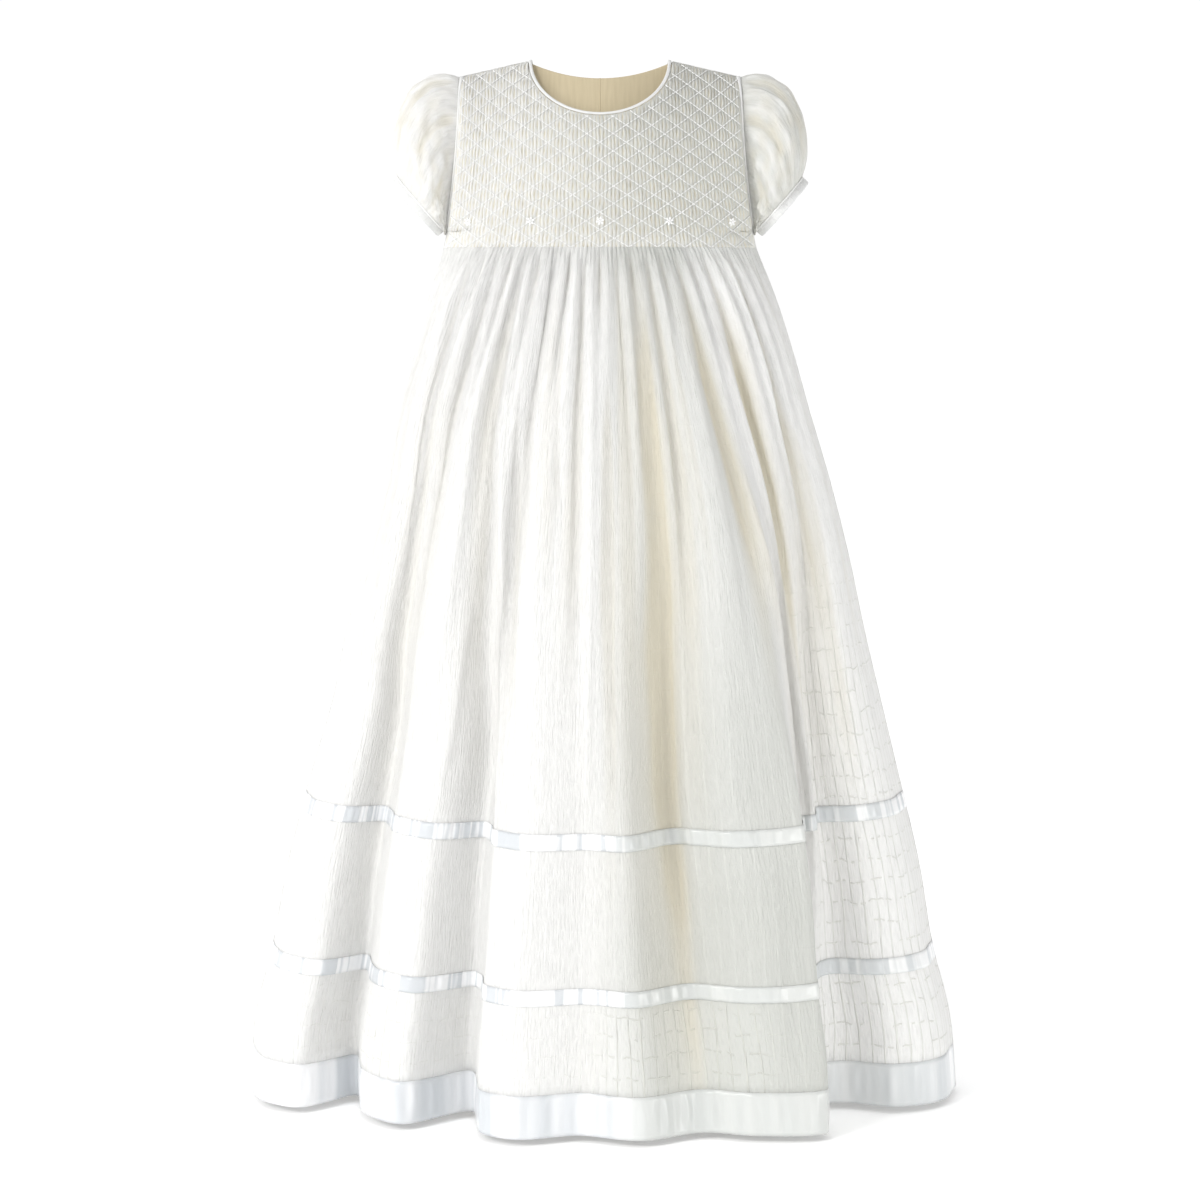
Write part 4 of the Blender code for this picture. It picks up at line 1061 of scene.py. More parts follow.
def grey_shade_mark(columns, rows, side):
    """Painted grey shade: beside the middle on the wearer's left, all the way down, where no light comes from behind.
    """
    across = window(columns, -0.06, 0.14, 0.42, 0.50)
    lobe = window(columns, 0.20, 0.27, 0.42, 0.47) * soft_step(rows, 0.20, 0.40)
    low = 0.14 * soft_step(rows, 0.10, 0.35) + 0.28 * soft_step(rows, 0.40, 0.52)
    seam = (0.16 + 0.20 * soft_step(columns, -0.80, 0.45)) * (1 - soft_step(rows, 0.0, 0.030))
    return np.clip(across * (0.48 + low) + 0.26 * lobe + seam, 0.0, 1.0) * (side < 0)


def painted_backlight_mark(columns, rows):
    """Painted backlight, where light comes through: the panel that lies back on the wearer's left, and low down
    beside the middle.
    """
    panel = soft_step(columns, 0.56, 0.64) * soft_step(rows, 0.18, 0.32)
    low = soft_step(rows, 0.525, 0.545)
    panes = window(columns, 0.0, 0.06, 0.30, 0.36) + 0.6 * window(columns, -0.62, -0.55, -0.50, -0.44)
    return np.clip(0.85 * panel + 0.95 * panes * low + 0.25 * low, 0.0, 1.0)


def skirt_panel(name, side, across, replaces):
    """One half of the skirt, from a little above the bodice's foot, which hides its top, to the hem band."""
    part = np.linspace(-1, 1, across + 1)
    below = SKIRT_LONG * np.linspace(0, 1, SKIRT_ROWS + 1) ** 1.25
    below = np.concatenate([[-0.004, -0.002], below])
    columns, rows = seen_from(side, part, below)
    marks = {"warm_shade": warm_shade_mark(columns, rows, side), "painted_backlight": painted_backlight_mark(columns, rows),
             "grey_shade": grey_shade_mark(columns, rows, side)}
    return hang(name, skirt_grid(columns, rows, side), skirt_flat(part, below, side), SKIRT_VOILE, [replaces],
                SHELL, marks)


front_skirt = skirt_panel("front_skirt", -1, FRONT_ACROSS, "front_panel")
back_skirt = skirt_panel("back_skirt_panel", 1, SKIRT_ACROSS, "back_skirt")
print("skirt faces:", len(front_skirt.data.polygons), len(back_skirt.data.polygons))

# %% [markdown]
# ## Satin ribbons and hem band
# The ribbons lie on the voile and follow every fold of it, so they are made from the same surface, moved out by
# their own thickness. Satin is stiffer than voile and cockles between its two rows of stitching. Its broken bright
# and grey patches are painted reflections, and the front bands carry a painted grey shade away from the window.

# %% Satin bands
RIBBON_LIFT = 0.0004
RIBBON_THICK = 0.0003
RIBBON_ROWS = 5
RIBBON_COCKLE = 0.0004
HEM_LIFT = 0.0002
HEM_THICK = 0.0006
HEM_ROWS = 10
HEM_COCKLE = 0.0007


def satin_band(name, side, top, bottom, lift, thick, steps, cockle, finish, replaces):
    """A band between two heights: the skirt's surface moved out, with small cockles that die at its edges."""
    part = np.linspace(-1, 1, SKIRT_ACROSS * 2 + 1)
    below = SMOCKING_FOOT - np.linspace(top, bottom, steps + 1)
    columns, rows = seen_from(side, part, below)
    grid = skirt_grid(columns, rows, side, lift)
    inner = np.sin(math.pi * np.linspace(0, 1, steps + 1))[:, None]
    walk = np.interp(part, *HEM_WALK[side])[None, :] * 1000
    bulge = np.sin(walk / 1.9) * np.sin(walk / 7.3 + 1.1) + 0.6 * np.sin(walk / 3.1 + 2.0 * np.sin(walk / 23))
    grid = grid + outward(grid) * (cockle * inner * (0.4 + bulge) * soft_step(1 - np.abs(part), 0, 0.01))[..., None]
    # Painted grey shade on the front bands: right of the middle, less beyond the lobe, none at the side
    away = 0.80 * soft_step(columns, 0.0, 0.12) - 0.45 * soft_step(columns, 0.50, 0.60)
    away = away * (1 - soft_step(columns, 0.80, 1.0)) * (side < 0)
    return hang(name, grid, skirt_flat(part, below, side), finish, [replaces], thick, {"grey_shade": away})


bands = {}
for face, side in (("front", -1), ("back", 1)):
    for place, top in (("upper", UPPER_RIBBON), ("lower", LOWER_RIBBON)):
        bands[place, face] = satin_band(
            f"{place}_ribbon_{face}", side, top, top - RIBBON, RIBBON_LIFT + RIBBON_THICK, RIBBON_THICK,
            RIBBON_ROWS, RIBBON_COCKLE, RIBBON_SATIN, f"ribbon_{place}_{face}")
    bands["hem", face] = satin_band(
        f"satin_hem_{face}", side, BAND_TOP, HEM, HEM_LIFT, HEM_THICK, HEM_ROWS, HEM_COCKLE, HEM_SATIN,
        f"hem_band_{face}")
print("satin bands:", len(bands))

# %% [markdown]
# ## The plain back yoke
# Behind, the bodice is plain: two halves that meet at the centre back under a button band. The same form is used,
# with the same thin shell as the skirt.

# %% Back yoke
YOKE_STEPS = 60
YOKE_CUT = 0.125  # width of one half's cut, at the foot
YOKE_SHELL = 0.0008


def back_yoke(word, sign):
    """One half of the yoke; its columns run to the right as seen from behind."""
    part = np.linspace(0, 1, YOKE_STEPS + 1) * sign
    part = part if sign < 0 else part[::-1]
    grid, height, _ = bodice_grid(part, YOKE_STEPS + 1, BACK_NECK_DROP, 1)
    flat = np.stack([np.broadcast_to(part * YOKE_CUT, height.shape), -height], -1)
    return hang(f"yoke_{word}", grid, flat, SKIRT_VOILE, [f"back_yoke_{word}"], YOKE_SHELL)


yokes = [back_yoke(word, sign) for word, sign in WEARER]
print("yoke faces:", [len(yoke.data.polygons) for yoke in yokes])

# %% [markdown]
# ## Bound and piped edges
# The neck has a narrow binding, and a pressed seam shows as a bright strip round each armhole. Both are closed
# sections carried along a path on the bodice: a small outline in two directions, sideways and outward, repeated
# at every point of the path.

# %% Carried section
def signed_volume(points, faces):
    """Six times the volume is the sum of each triangle's triple product; it is negative for an inside-out shape."""
    a, b, c, d = (points[faces[:, k]] for k in range(4))
    return float((a * np.cross(b, c)).sum() + (a * np.cross(c, d)).sum())


def carried(name, path, sideways, out, section, ring):
    """A closed section of (sideways, outward) sizes carried along a path, closed into a ring or capped."""
    section = np.array(section)
    loops = path[:, None] + sideways[:, None] * section[None, :, :1] + out[:, None] * section[None, :, 1:]
    count, around = loops.shape[:2]
    rows = count + 1 if ring else count
    line = np.concatenate([path, path[:1]]) if ring else path
    flat = np.stack(np.meshgrid(SECTION_STEP * np.arange(around + 1), travelled(line)), -1)
    blocks = [quads(rows, around, ring=True) % (count * around)]
    flat_blocks = [quads(rows, around + 1)]
    if not ring:
        ends = np.arange(around)[None]
        blocks += [ends[:, ::-1], ends + (count - 1) * around]
        flat_blocks += [ends[:, ::-1], ends + (count - 1) * (around + 1)]
    piece = new_piece(name, loops, blocks, flat, flat_blocks, crisp=len(blocks) - 1)
    if signed_volume(loops.reshape(-1, 3), blocks[0]) < 0:
        piece.data.flip_normals()
    return piece


def oval(wide, high):
    """An oval section of a half width and a half height."""
    return [(wide * math.cos(angle), high * math.sin(angle)) for angle in np.arange(8) * math.pi / 4]


SECTION_STEP = 0.0005  # cloth between two corners of a section, on the map
print("a section's corners:", len(oval(1.0, 1.0)))

# %% [markdown]
# ## The puffed sleeves
# A sleeve starts on the armhole, puffs out and comes in to the cuff. Each line from armhole to cuff is a cubic
# curve. Gathers at the head and at the cuff are cosines round the sleeve, strongest near both ends, and a few
# longer creases run between them.

# %% Sleeve form
CUFF_CENTRE = (0.1330, 0.6702)
CUFF_LONG = 0.0255
CUFF_DEEP = 0.031
CUFF_WIDE = 0.0065
CUFF_AXIS = (0.755, -0.656)
CUFF_ACROSS = (0.656, 0.755)
HEAD_REACH = (0.0185, 0.0155)
HEAD_SWELL = (0.007, 0.001, 0.004)
CUFF_SWELL = (0.022, 0.0205)
CUFF_REACH = (0.011, 0.0095)
SLEEVE_GATHER = 0.0012
SLEEVE_COLUMNS = 32
SLEEVE_ACROSS = 256
SLEEVE_DOWN = 56
CRUSH = 0.0005  # depth of the sleeve's small crushed waves
SLEEVE_CREASES = (
    # turn round the sleeve (0 at the top, in turns towards the front), start, end, width in turns, depth in mm
    (0.010, 0.00, 0.60, 0.012, 1.8),
    (0.045, 0.00, 0.50, 0.009, 2.2),
    (0.075, 0.00, 0.75, 0.014, -1.8),
    (0.105, 0.00, 0.60, 0.010, 2.4),
    (0.150, 0.00, 0.85, 0.013, 2.0),
    (0.185, 0.00, 0.60, 0.010, -2.0),
    (0.215, 0.05, 0.70, 0.012, 1.8),
    (0.260, 0.10, 1.00, 0.014, 2.0),
    (0.300, 0.25, 1.00, 0.012, -2.0),
    (0.340, 0.30, 1.00, 0.011, 1.8),
    (0.380, 0.40, 1.00, 0.012, -1.4),
    (0.430, 0.40, 1.00, 0.010, 1.2),
    (0.965, 0.00, 0.50, 0.010, 2.0),
    (0.925, 0.00, 0.70, 0.012, -1.6),
    (0.885, 0.00, 0.80, 0.012, 2.2),
    (0.830, 0.00, 0.60, 0.012, -1.6),
    (0.780, 0.05, 0.90, 0.015, 2.0),
    (0.700, 0.25, 1.00, 0.014, -1.6),
    (0.620, 0.30, 1.00, 0.012, 1.4),
)


def cuff_ring(turn, along, grown=0.0):
    """An oval round the arm, some way down it from the cuff's seam, for the wearer's left."""
    up, side = np.cos(turn), -np.sin(turn)
    across = CUFF_CENTRE[0] + CUFF_AXIS[0] * along + CUFF_ACROSS[0] * (CUFF_LONG + grown) * up
    height = CUFF_CENTRE[1] + CUFF_AXIS[1] * along + CUFF_ACROSS[1] * (CUFF_LONG + grown) * up
    return np.stack([across, (CUFF_DEEP + grown) * side, height], -1)


def sleeve_grid(turn, along):
    """Cubic curves from the armhole (0) to the cuff (1), one for each turn, with gathers that swing them out."""
    up, side = np.cos(turn), -np.sin(turn)
    nothing = np.zeros_like(up)
    height = ARMHOLE_MIDDLE + (ARMHOLE_TOP - ARMHOLE_MIDDLE) * up
    start = np.stack([half_width(height) + 0.0002, ARMHOLE_DEEP * side, height], -1)
    end = cuff_ring(turn, 0.0)
    from_armhole = np.stack([nothing, side, up], -1)
    from_cuff = np.stack([CUFF_ACROSS[0] * up, side, CUFF_ACROSS[1] * up], -1)
    first = start + from_armhole * (HEAD_SWELL[0] + HEAD_SWELL[1] * up + HEAD_SWELL[2] * side**2)[:, None]
    first[:, 0] += HEAD_REACH[0] + HEAD_REACH[1] * up
    second = end + from_cuff * (CUFF_SWELL[0] + CUFF_SWELL[1] * up)[:, None]
    second -= np.array([CUFF_AXIS[0], 0.0, CUFF_AXIS[1]]) * (CUFF_REACH[0] + CUFF_REACH[1] * up)[:, None]
    v = along[:, None, None]
    grid = (1 - v) ** 3 * start + 3 * v * (1 - v) ** 2 * first + 3 * v**2 * (1 - v) * second + v**3 * end
    swing = SLEEVE_GATHER * np.abs(np.sin(2 * math.pi * v)) * (0.5 + 0.5 * up)[None, :, None]
    grid = grid + unit(from_armhole + from_cuff)[None] * swing * np.cos(SLEEVE_COLUMNS / 2 * turn)[None, :, None]
    return grid


def sleeve_relief(turn, along):
    """Gathers that fan out from both ends, as narrow ridges of uneven places, and the creases of the table."""
    share = turn[None, :] / (2 * math.pi)
    v = along[:, None]
    upper = (0.55 + 0.45 * np.cos(turn))[None, :]
    relief = np.zeros((len(along), len(turn)))
    for count, warp, start, stop, deep in ((24, 1.9, 0.0, 0.55, 0.0015), (30, 2.3, 1.0, 0.50, 0.0014)):
        place = count * share + 0.35 * np.sin(2 * math.pi * 5 * share + warp) + 0.3 * np.sin(2 * math.pi * 3 * share)
        nearest = np.round(place)
        reach = 0.45 + 0.55 * np.abs(np.sin(5.7 * nearest + warp))
        travel = np.abs(v - start) / abs(stop - start) / reach
        ridge = np.exp(-(((place - nearest) / 0.24) ** 2)) - 0.35
        relief = relief + deep * window(travel, 0.0, 0.15, 0.35, 1.0) * upper * ridge
    for place, start, stop, wide, deep in SLEEVE_CREASES:
        apart = (share - place + 0.5) % 1.0 - 0.5
        travel = (v - start) / (stop - start)
        relief = relief + deep / 1000 * window(travel, 0.0, 0.2, 0.75, 1.0) * np.exp(-((apart / wide) ** 2))
    round_by = turn[None, :]
    crushed = np.sin(9 * round_by + 14 * v + 2 * np.sin(3 * round_by))
    crushed = crushed * np.sin(15 * v + 4 * np.sin(2 * round_by + 1))
    crushed = crushed + 0.7 * np.sin(17 * round_by - 11 * v + 1) * np.sin(23 * v + 3 * np.sin(5 * round_by))
    return relief + CRUSH * crushed * window(v, 0.04, 0.2, 0.85, 0.97)


# %% Sleeves and cuffs
SLEEVE_TURN = 0.35  # of the right sleeve's gathers, against the left's
SLEEVE_GREY_SHADE = 0.75  # painted grey shade on the left sleeve, away from the window
SLEEVE_CUT = (0.26, 0.07)  # round the puff, and from head to cuff
CUFF_CUT = (0.178, 0.014)
CUFF_SIDES = 96
CUFF_PROFILE = (
    # distance along the arm, rise
    (0.0, 0.0),
    (0.0006, 0.0007),
    (0.0030, 0.0009),
    (0.0058, 0.0007),
    (CUFF_WIDE, 0.0),
    (0.0058, -0.0006),
    (0.0006, -0.0006),
)


def armwear(name, sign, grid, faces, flat, flat_faces, marks, finish, replaces, thick=None):
    """A piece round an arm, worked out for the left: the left's faces are turned over, the right is mirrored."""
    order = slice(None, None, -1 if sign > 0 else 1)
    piece = new_piece(name, grid * (sign, 1, 1), [faces[:, order]], flat, [flat_faces[:, order]], marks)
    return dress(piece, finish, replaces, thick)


def sleeve(word, sign):
    """One sleeve: the left is worked out, and the right is its mirror, turned a little so that they differ."""
    turn = turns(SLEEVE_ACROSS) + (SLEEVE_TURN if sign < 0 else 0.0)
    along = np.linspace(0, 1, SLEEVE_DOWN + 1)
    grid = sleeve_grid(turn, along)
    relief = sleeve_relief(turn, along)
    grid = grid - outward(grid, ring=True) * relief[..., None]
    flat = np.stack(np.meshgrid(np.linspace(0, SLEEVE_CUT[0], SLEEVE_ACROSS + 1), -SLEEVE_CUT[1] * along), -1)
    v = along[:, None]
    # Painted warm shade: uneven clouds through the sleeve's middle, and its troughs
    clouds = 0.45 + 0.35 * np.sin(9 * turn + 12 * v) * np.sin(15 * v + 2 * turn)
    clouds = clouds + 0.30 * np.sin(13 * turn - 16 * v + 1)
    troughs = soft_step(-relief, -0.0002, 0.0012)
    warm_shade = np.clip(0.34 * np.sin(math.pi * v) ** 0.5 * clouds + 0.34 * troughs * (1 - 0.5 * v), 0, 1)
    # Painted grey shade on the left sleeve, less on the creases
    away = (SLEEVE_GREY_SHADE if sign > 0 else 0.0) * (1 - 0.6 * np.clip(relief / 0.002, 0, 1))
    return armwear(f"puffed_sleeve_{word}", sign, grid, quads(*grid.shape[:2], ring=True), flat,
                   quads(SLEEVE_DOWN + 1, SLEEVE_ACROSS + 1), {"warm_shade": warm_shade, "grey_shade": away},
                   SLEEVE_VOILE, [f"sleeve_{word}"], SHELL)


def cuff(word, sign):
    """A narrow band with rounded edges: its closed profile carried round the arm."""
    grid = np.stack([cuff_ring(turns(CUFF_SIDES), along, rise) for along, rise in CUFF_PROFILE])
    rows = len(CUFF_PROFILE) + 1
    faces = quads(rows, CUFF_SIDES, ring=True) % (len(CUFF_PROFILE) * CUFF_SIDES)
    flat = np.stack(np.meshgrid(np.linspace(0, CUFF_CUT[0], CUFF_SIDES + 1), np.linspace(0, CUFF_CUT[1], rows)), -1)
    return armwear(f"sleeve_band_{word}", sign, grid, faces, flat, quads(rows, CUFF_SIDES + 1), None,
                   BAND_VOILE, [f"cuff_{word}"])


def cuff_seam(word, sign):
    """A fine cord of stitched cloth in the seam between the sleeve and its band."""
    turn = turns(CUFF_SIDES)
    path = cuff_ring(turn, 0.0002, 0.0006) * (sign, 1, 1)
    out = unit(cuff_ring(turn, 0.0, 0.001) - cuff_ring(turn, 0.0)) * (sign, 1, 1)
    axis = np.tile([CUFF_AXIS[0] * sign, 0.0, CUFF_AXIS[1]], (CUFF_SIDES, 1))
    return dress(carried(f"cuff_seam_{word}", path, axis, out, oval(0.0006, 0.0007), True), THREAD_WHITE)


sleeves, cuffs, cuff_seams = ([make(word, sign) for word, sign in WEARER] for make in (sleeve, cuff, cuff_seam))
print("sleeve faces:", [len(piece.data.polygons) for piece in sleeves])

# %% Neck binding
BINDING_REACH = 0.0017  # from the panels' edge to the middle of the binding, into the neck opening
NECK_ABOVE = 0.012  # the binding leans towards a point this far above the neck's middle
angle = np.linspace(0, 2 * math.pi, 161)[:-1]
across = -NECK_HALF * np.cos(angle)
drop = np.where(np.sin(angle) >= 0, FRONT_NECK_DROP, BACK_NECK_DROP)
height = NECK_TOP - drop * np.abs(np.sin(angle))
side = np.where(np.sin(angle) >= 0, -1.0, 1.0)
path = np.stack([across, side * body_depth(across, height), height], -1)
along = unit(np.roll(path, -1, 0) - np.roll(path, 1, 0))
inward = np.array([0.0, 0.0, NECK_TOP + NECK_ABOVE]) - path
inward = unit(inward - along * (inward * along).sum(1, keepdims=True))
out = unit(np.cross(along, inward))
out *= np.sign(out[:, 2:] + 1e-9)
binding = carried("neck_edge_binding", path + inward * BINDING_REACH + out * 0.0002, inward, out,
                  oval(0.0013, 0.0008), True)
dress(binding, BAND_VOILE, ["neck_binding"])
print("neck binding carried along", round(travelled(path)[-1], 3), "m")

# %% Armhole strips
STRIP_WIDE = 0.0028
STRIP_SIDES = 120
STRIP_SECTION = [(-1.35, 0.0), (-0.9, 0.0009), (0.0, 0.0012), (0.9, 0.0009), (1.2, 0.0), (0.0, -0.0006)]


def in_from_armhole(height, side, distance):
    """The place on the bodice at a distance in from the armhole's edge, measured along the surface."""
    shares = np.linspace(1.0, 0.72, 57)
    width = half_width(height)
    across = shares[None, :] * width[:, None]
    points = np.stack([across, side[:, None] * body_depth(across, height[:, None]),
                       np.broadcast_to(height[:, None], across.shape)], -1)
    across = np.array([np.interp(far, travelled(line), shares) for far, line in zip(distance, points)]) * width
    return np.stack([across, side * body_depth(across, height), height], -1)


def armhole_strip(word, sign):
    """A soft strip from the armhole's edge onto the bodice, round the whole oval."""
    turn = turns(STRIP_SIDES)
    side = np.where(np.sin(turn) >= 0, -1.0, 1.0)
    height = ARMHOLE_MIDDLE + (ARMHOLE_TOP - ARMHOLE_MIDDLE) * np.cos(turn)
    edge = np.stack([half_width(height), -ARMHOLE_DEEP * np.sin(turn), height], -1)
    wide = STRIP_WIDE * (0.1 + 0.9 * soft_step(height - ARMHOLE_FOOT, 0.001, 0.010))
    inner = in_from_armhole(np.minimum(height, ARMHOLE_TOP - 0.0008), side, wide)
    middle, reach = (edge + inner) / 2, (inner - edge) / 2
    along = unit(np.roll(middle, -1, 0) - np.roll(middle, 1, 0))
    out = unit(np.cross(along, reach))
    out *= np.sign((out * (middle - (0.06, 0.0, ARMHOLE_MIDDLE))).sum(1, keepdims=True))
    path, sideways, out = (vectors * (sign, 1, 1) for vectors in (middle, reach, out))
    return dress(carried(f"armhole_seam_{word}", path, sideways, out, STRIP_SECTION, True), BAND_VOILE)


strips = [armhole_strip(word, sign) for word, sign in WEARER]
print("armhole seams:", len(strips))

# %% Shoulder and side seams
SEAM_END = 0.001  # a seam stops this short of the edges


def plain_seam(name, path, out):
    """A fine cord along a path that faces one way."""
    sideways, out = (np.tile(way, (len(path), 1)) for way in ([0.0, 1.0, 0.0], out))
    return dress(carried(name, path, sideways, out, oval(0.0007, 0.0004), False), SKIRT_VOILE)


for word, sign in WEARER:
    across = sign * np.linspace(NECK_HALF + SEAM_END, SHOULDER_HALF - SEAM_END, 24)
    path = np.stack([across, 0 * across, shoulder_height(across) + 0.0001], -1)
    plain_seam(f"shoulder_seam_{word}", path, [0.0, 0.0, 1.0])
    below = np.linspace(-(ARMHOLE_FOOT - SMOCKING_FOOT) + SEAM_END, SMOCKING_FOOT - HEM - SEAM_END, 160)
    path = bell(np.full(160, float(sign)), np.maximum(below, 0), -1) * (1, 0, 0)
    path[:, 2] = SMOCKING_FOOT - below
    path[:, 0] = np.where(below < 0, sign * half_width(path[:, 2]), path[:, 0])
    plain_seam(f"side_seam_{word}", path, [float(sign), 0.0, 0.0])

# %% [markdown]
# ## The back opening
# A narrow button band runs down the centre back, with three small pearl buttons. A button is a turned profile:
# a rounded rim round a shallow dish, sewn on with a cross of thread.

# %% Button band
PLACKET_HALF = 0.006
BUTTON_RADIUS = 0.0048
BUTTON_HEIGHTS = (0.742, 0.702, 0.662)
BAND_LIFT = 0.0020
BAND_SHELL = 0.0012
BUTTON_THICK = 0.0024


def back_band():
    """The yoke's form moved out, 12 mm wide, with its outside rounded a little and closed all round."""
    height = np.linspace(NECK_TOP - BACK_NECK_DROP - 0.003, SMOCKING_FOOT + 0.0003, 60)
    across = np.linspace(PLACKET_HALF, -PLACKET_HALF, 13)
    columns, rows = np.meshgrid(across, height)
    grid = np.stack([columns, body_depth(columns, rows), rows], -1)
    crown = 1 - (columns / PLACKET_HALF) ** 4
    grid = grid + outward(grid) * (BAND_LIFT - 0.0004 + 0.0004 * crown)[..., None]
    return hang("button_band", grid, np.stack([columns, -rows], -1), BAND_VOILE, ["back_placket"], BAND_SHELL)


def back_button(number, height):
    """A pearl button seated on the band, and the cross of thread that holds it."""
    profile = [(0, 0.55), (0.30, 0.55), (0.62, 0.62), (0.80, 0.95), (0.90, 1.0), (0.98, 0.85), (1.0, 0.5),
               (0.94, 0.1), (0.80, 0.0), (0, 0.0)]
    points, faces = turned([(r * BUTTON_RADIUS, z * BUTTON_THICK) for r, z in profile], 40)
    depth = body_depth(0.0, np.array([height - 0.004, height, height + 0.004]))
    out = unit(np.array([0.0, 0.008, -(depth[2] - depth[0])]))
    up = np.array([0.0, -out[2], out[1]])
    right = np.cross(up, out)
    seat = np.array([0.0, depth[1], height]) + out * (BAND_LIFT + 0.0002)
    placed = seat + points[:, :1] * right + points[:, 1:2] * up + points[:, 2:] * out
    piece = new_piece(f"pearl_button_{number}", placed, faces)
    dress(piece, PEARL, [f"button_{number}"])
    ways = unit(np.array([right + up, right - up]))
    centres = np.repeat((seat + out * 0.0016)[None], 2, 0)
    cross = pods(centres, ways, np.repeat(out[None], 2, 0), 0.0016, 0.0003, 0.0003)
    dress(new_piece(f"button_thread_{number}", *cross), THREAD_WHITE)


band = back_band()
for number, height in enumerate(BUTTON_HEIGHTS, 1):
    back_button(number, height)
print("buttons:", len(BUTTON_HEIGHTS))

# %% [markdown]
# ## The dress form and its stand
# The form shows in the neck opening: linen stretched over a smooth child's torso, with a seam down the middle and
# a shallow dished cut at the neck. Rings of the body's form are joined by smooth curves. The stand under it is
# hidden by the skirt, so it keeps the solids' own shape with a painted finish.

# %% Dress form
FORM_CLEAR = 0.002
ARM_CLEAR = 0.003
FORM_CURVE = 0.95
FORM_FRONT = 0.066
FORM_BACK = 0.062
FORM_SIDES = 96
FORM_FINE = 6  # finer rings between two of the form's own
DISH_RINGS = 20
TORSO = (
    # height, half width, front, back
    (430.0, 62.0, 38.0, 38.0),
    (434.0, 76.0, 48.0, 50.0),
    (450.0, 88.0, 57.0, 60.0),
    (485.0, 91.0, 61.0, 63.0),
    (530.0, 88.0, 65.0, 58.0),
    (585.0, 89.0, 65.0, 56.0),
    (640.0, 94.0, 66.0, 62.0),
    (670.0, 96.0, 67.0, 64.0),
)
ARM_RINGS = (
    # height at the middle, at the side
    (695.0, 700.0),
    (715.0, 726.0),
    (728.0, 746.0),
    (735.0, 757.0),
)
NECK_RINGS = (
    # height at the middle, share of the full width
    (740.0, 0.97),
    (745.5, 0.89),
    (751.0, 0.77),
    (756.5, 0.63),
    (761.2, 0.505),
)


def form_ring(middle, at_side, wide, front, back, upper):
    """A ring from the back's middle round: low in the middle, high at the sides, as deep as the body there."""
    turn = turns(FORM_SIDES)
    side, fore = -np.cos(turn), np.sin(turn)
    height = middle + (at_side - middle) * side**2
    across = wide * side
    deep = np.where(fore > 0, front, back)
    if upper:
        out = body_depth(across, height, deep, 2 * ARM_CLEAR, FORM_CLEAR, half_width(height) - ARM_CLEAR, FORM_CURVE)
    else:
        out = deep * np.abs(fore)
    return np.stack([across, -np.sign(np.round(fore, 6)) * out, height], -1)


rings = [form_ring(z, z, wide, front, back, False) for z, wide, front, back in np.array(TORSO) / 1000]
for middle, at_side in np.array(ARM_RINGS) / 1000:
    rings.append(form_ring(middle, at_side, float(half_width(at_side)) - ARM_CLEAR, FORM_FRONT, FORM_BACK, True))
for middle, share in NECK_RINGS:
    wide = share * (SHOULDER_HALF - ARM_CLEAR)
    at_side = float(shoulder_height(wide)) - FORM_CLEAR
    rings.append(form_ring(middle / 1000, at_side, wide, FORM_FRONT, FORM_BACK, True))
steps = np.linspace(0, len(rings) - 1, (len(rings) - 1) * FORM_FINE + 1)
body = through(np.arange(len(rings)), np.stack(rings), steps)[::-1]
neck = body[0]
centre = np.array([0.0, 0.0, float(neck[:, 2].min()) - 0.001])
shares = np.linspace(1, 0, DISH_RINGS + 1)[1:-1, None, None]
dish = centre + (neck - centre) * np.concatenate([shares, shares, shares**2], -1)
grid = np.concatenate([dish[::-1], body])
faces = quads(len(grid), FORM_SIDES, ring=True)
caps = [np.arange(FORM_SIDES)[None, ::-1], np.arange(FORM_SIDES)[None] + (len(grid) - 1) * FORM_SIDES]
walk = np.concatenate([0.04 * (1 - shares[::-1, 0, 0]) - 0.04, travelled(body[:, FORM_SIDES // 4])])
flat = np.stack([grid[..., 0], np.broadcast_to(-walk[:, None], grid.shape[:2])], -1)
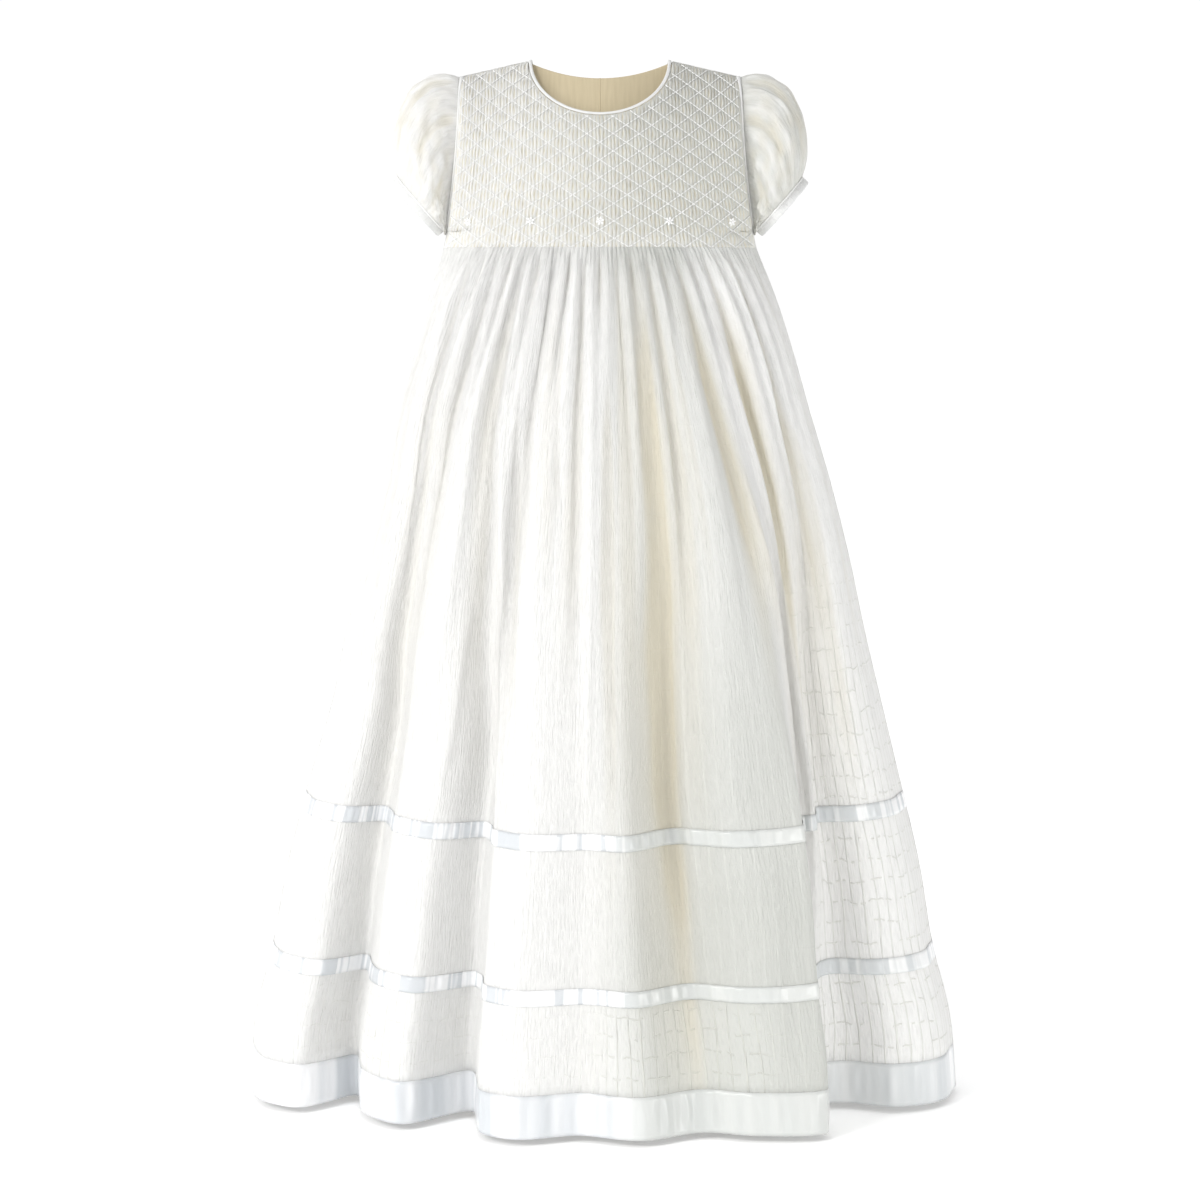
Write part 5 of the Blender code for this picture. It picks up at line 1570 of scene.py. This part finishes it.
if signed_volume(grid.reshape(-1, 3), faces) < 0:
    faces = faces[:, ::-1]
    caps = [cap[:, ::-1] for cap in caps]
linen_form = new_piece("linen_dress_form", grid, [faces, *caps], flat, crisp=2)
dress(linen_form, LINEN, ["dress_form"])
print("dress form faces:", len(linen_form.data.polygons))

# %% Form seam
seam_rows = body[:, FORM_SIDES // 4]
upper = seam_rows[seam_rows[:, 2] > 0.60][::-1]
path = np.concatenate([upper, dish[:, FORM_SIDES // 4], centre[None]])
piping = carried("form_centre_seam", path, np.tile([1.0, 0.0, 0.0], (len(path), 1)),
                 unit(np.cross(np.gradient(path, axis=0), [1.0, 0.0, 0.0])), oval(0.0004, 0.00025), False)
dress(piping, LINEN)
print("form seam:", round(travelled(path)[-1], 3), "m")

# %% Stand
for name in ("form_pole", "form_base"):
    node = bpy.data.objects[name]
    for slot in node.material_slots:
        slot.material = STAND_PAINT
print("stand finished")

# %% Floor
floor_mesh = bpy.data.meshes.new("floor")
floor_mesh.from_pydata([(-30, -30, 0), (30, -30, 0), (30, 30, 0), (-30, 30, 0)], [], [(0, 1, 2, 3)])
floor = bpy.data.objects.new("floor", floor_mesh)
bpy.context.scene.collection.objects.link(floor)
floor_finish = Finish("pale_floor")
floor_mesh.materials.append(floor_finish.surface(floor_finish.principled(
    colour(0.97, 0.97, 0.97), 0.9, None, {"Emission Color": colour(1.0, 1.0, 1.0), "Emission Strength": 0.28})))
print("floor laid")

# %% [markdown]
# ## The cut of the satin bands
# Cloth can't stretch, so the flat length of each satin band is worked out and printed. The skirt's halves are a
# little wider at the hem than at the top, the front is hollowed for the neck, and each ribbon is as long as the
# walk along all the folds at its own height.

# %% Sheets
BAND_CUTS = {  # the height where each band is measured, and its width
    "upper": (UPPER_RIBBON, RIBBON),
    "lower": (LOWER_RIBBON, RIBBON),
    "hem": (HEM, BAND_TOP - HEM),
}
for (place, face), strip in bands.items():
    side = -1 if face == "front" else 1
    top, high = BAND_CUTS[place]
    long = float(cut_width(side, top)[1][-1])
    "front_skirt" if side < 0 else "back_skirt_panel"
    print(strip.name, "flat:", round(long, 3), "m")
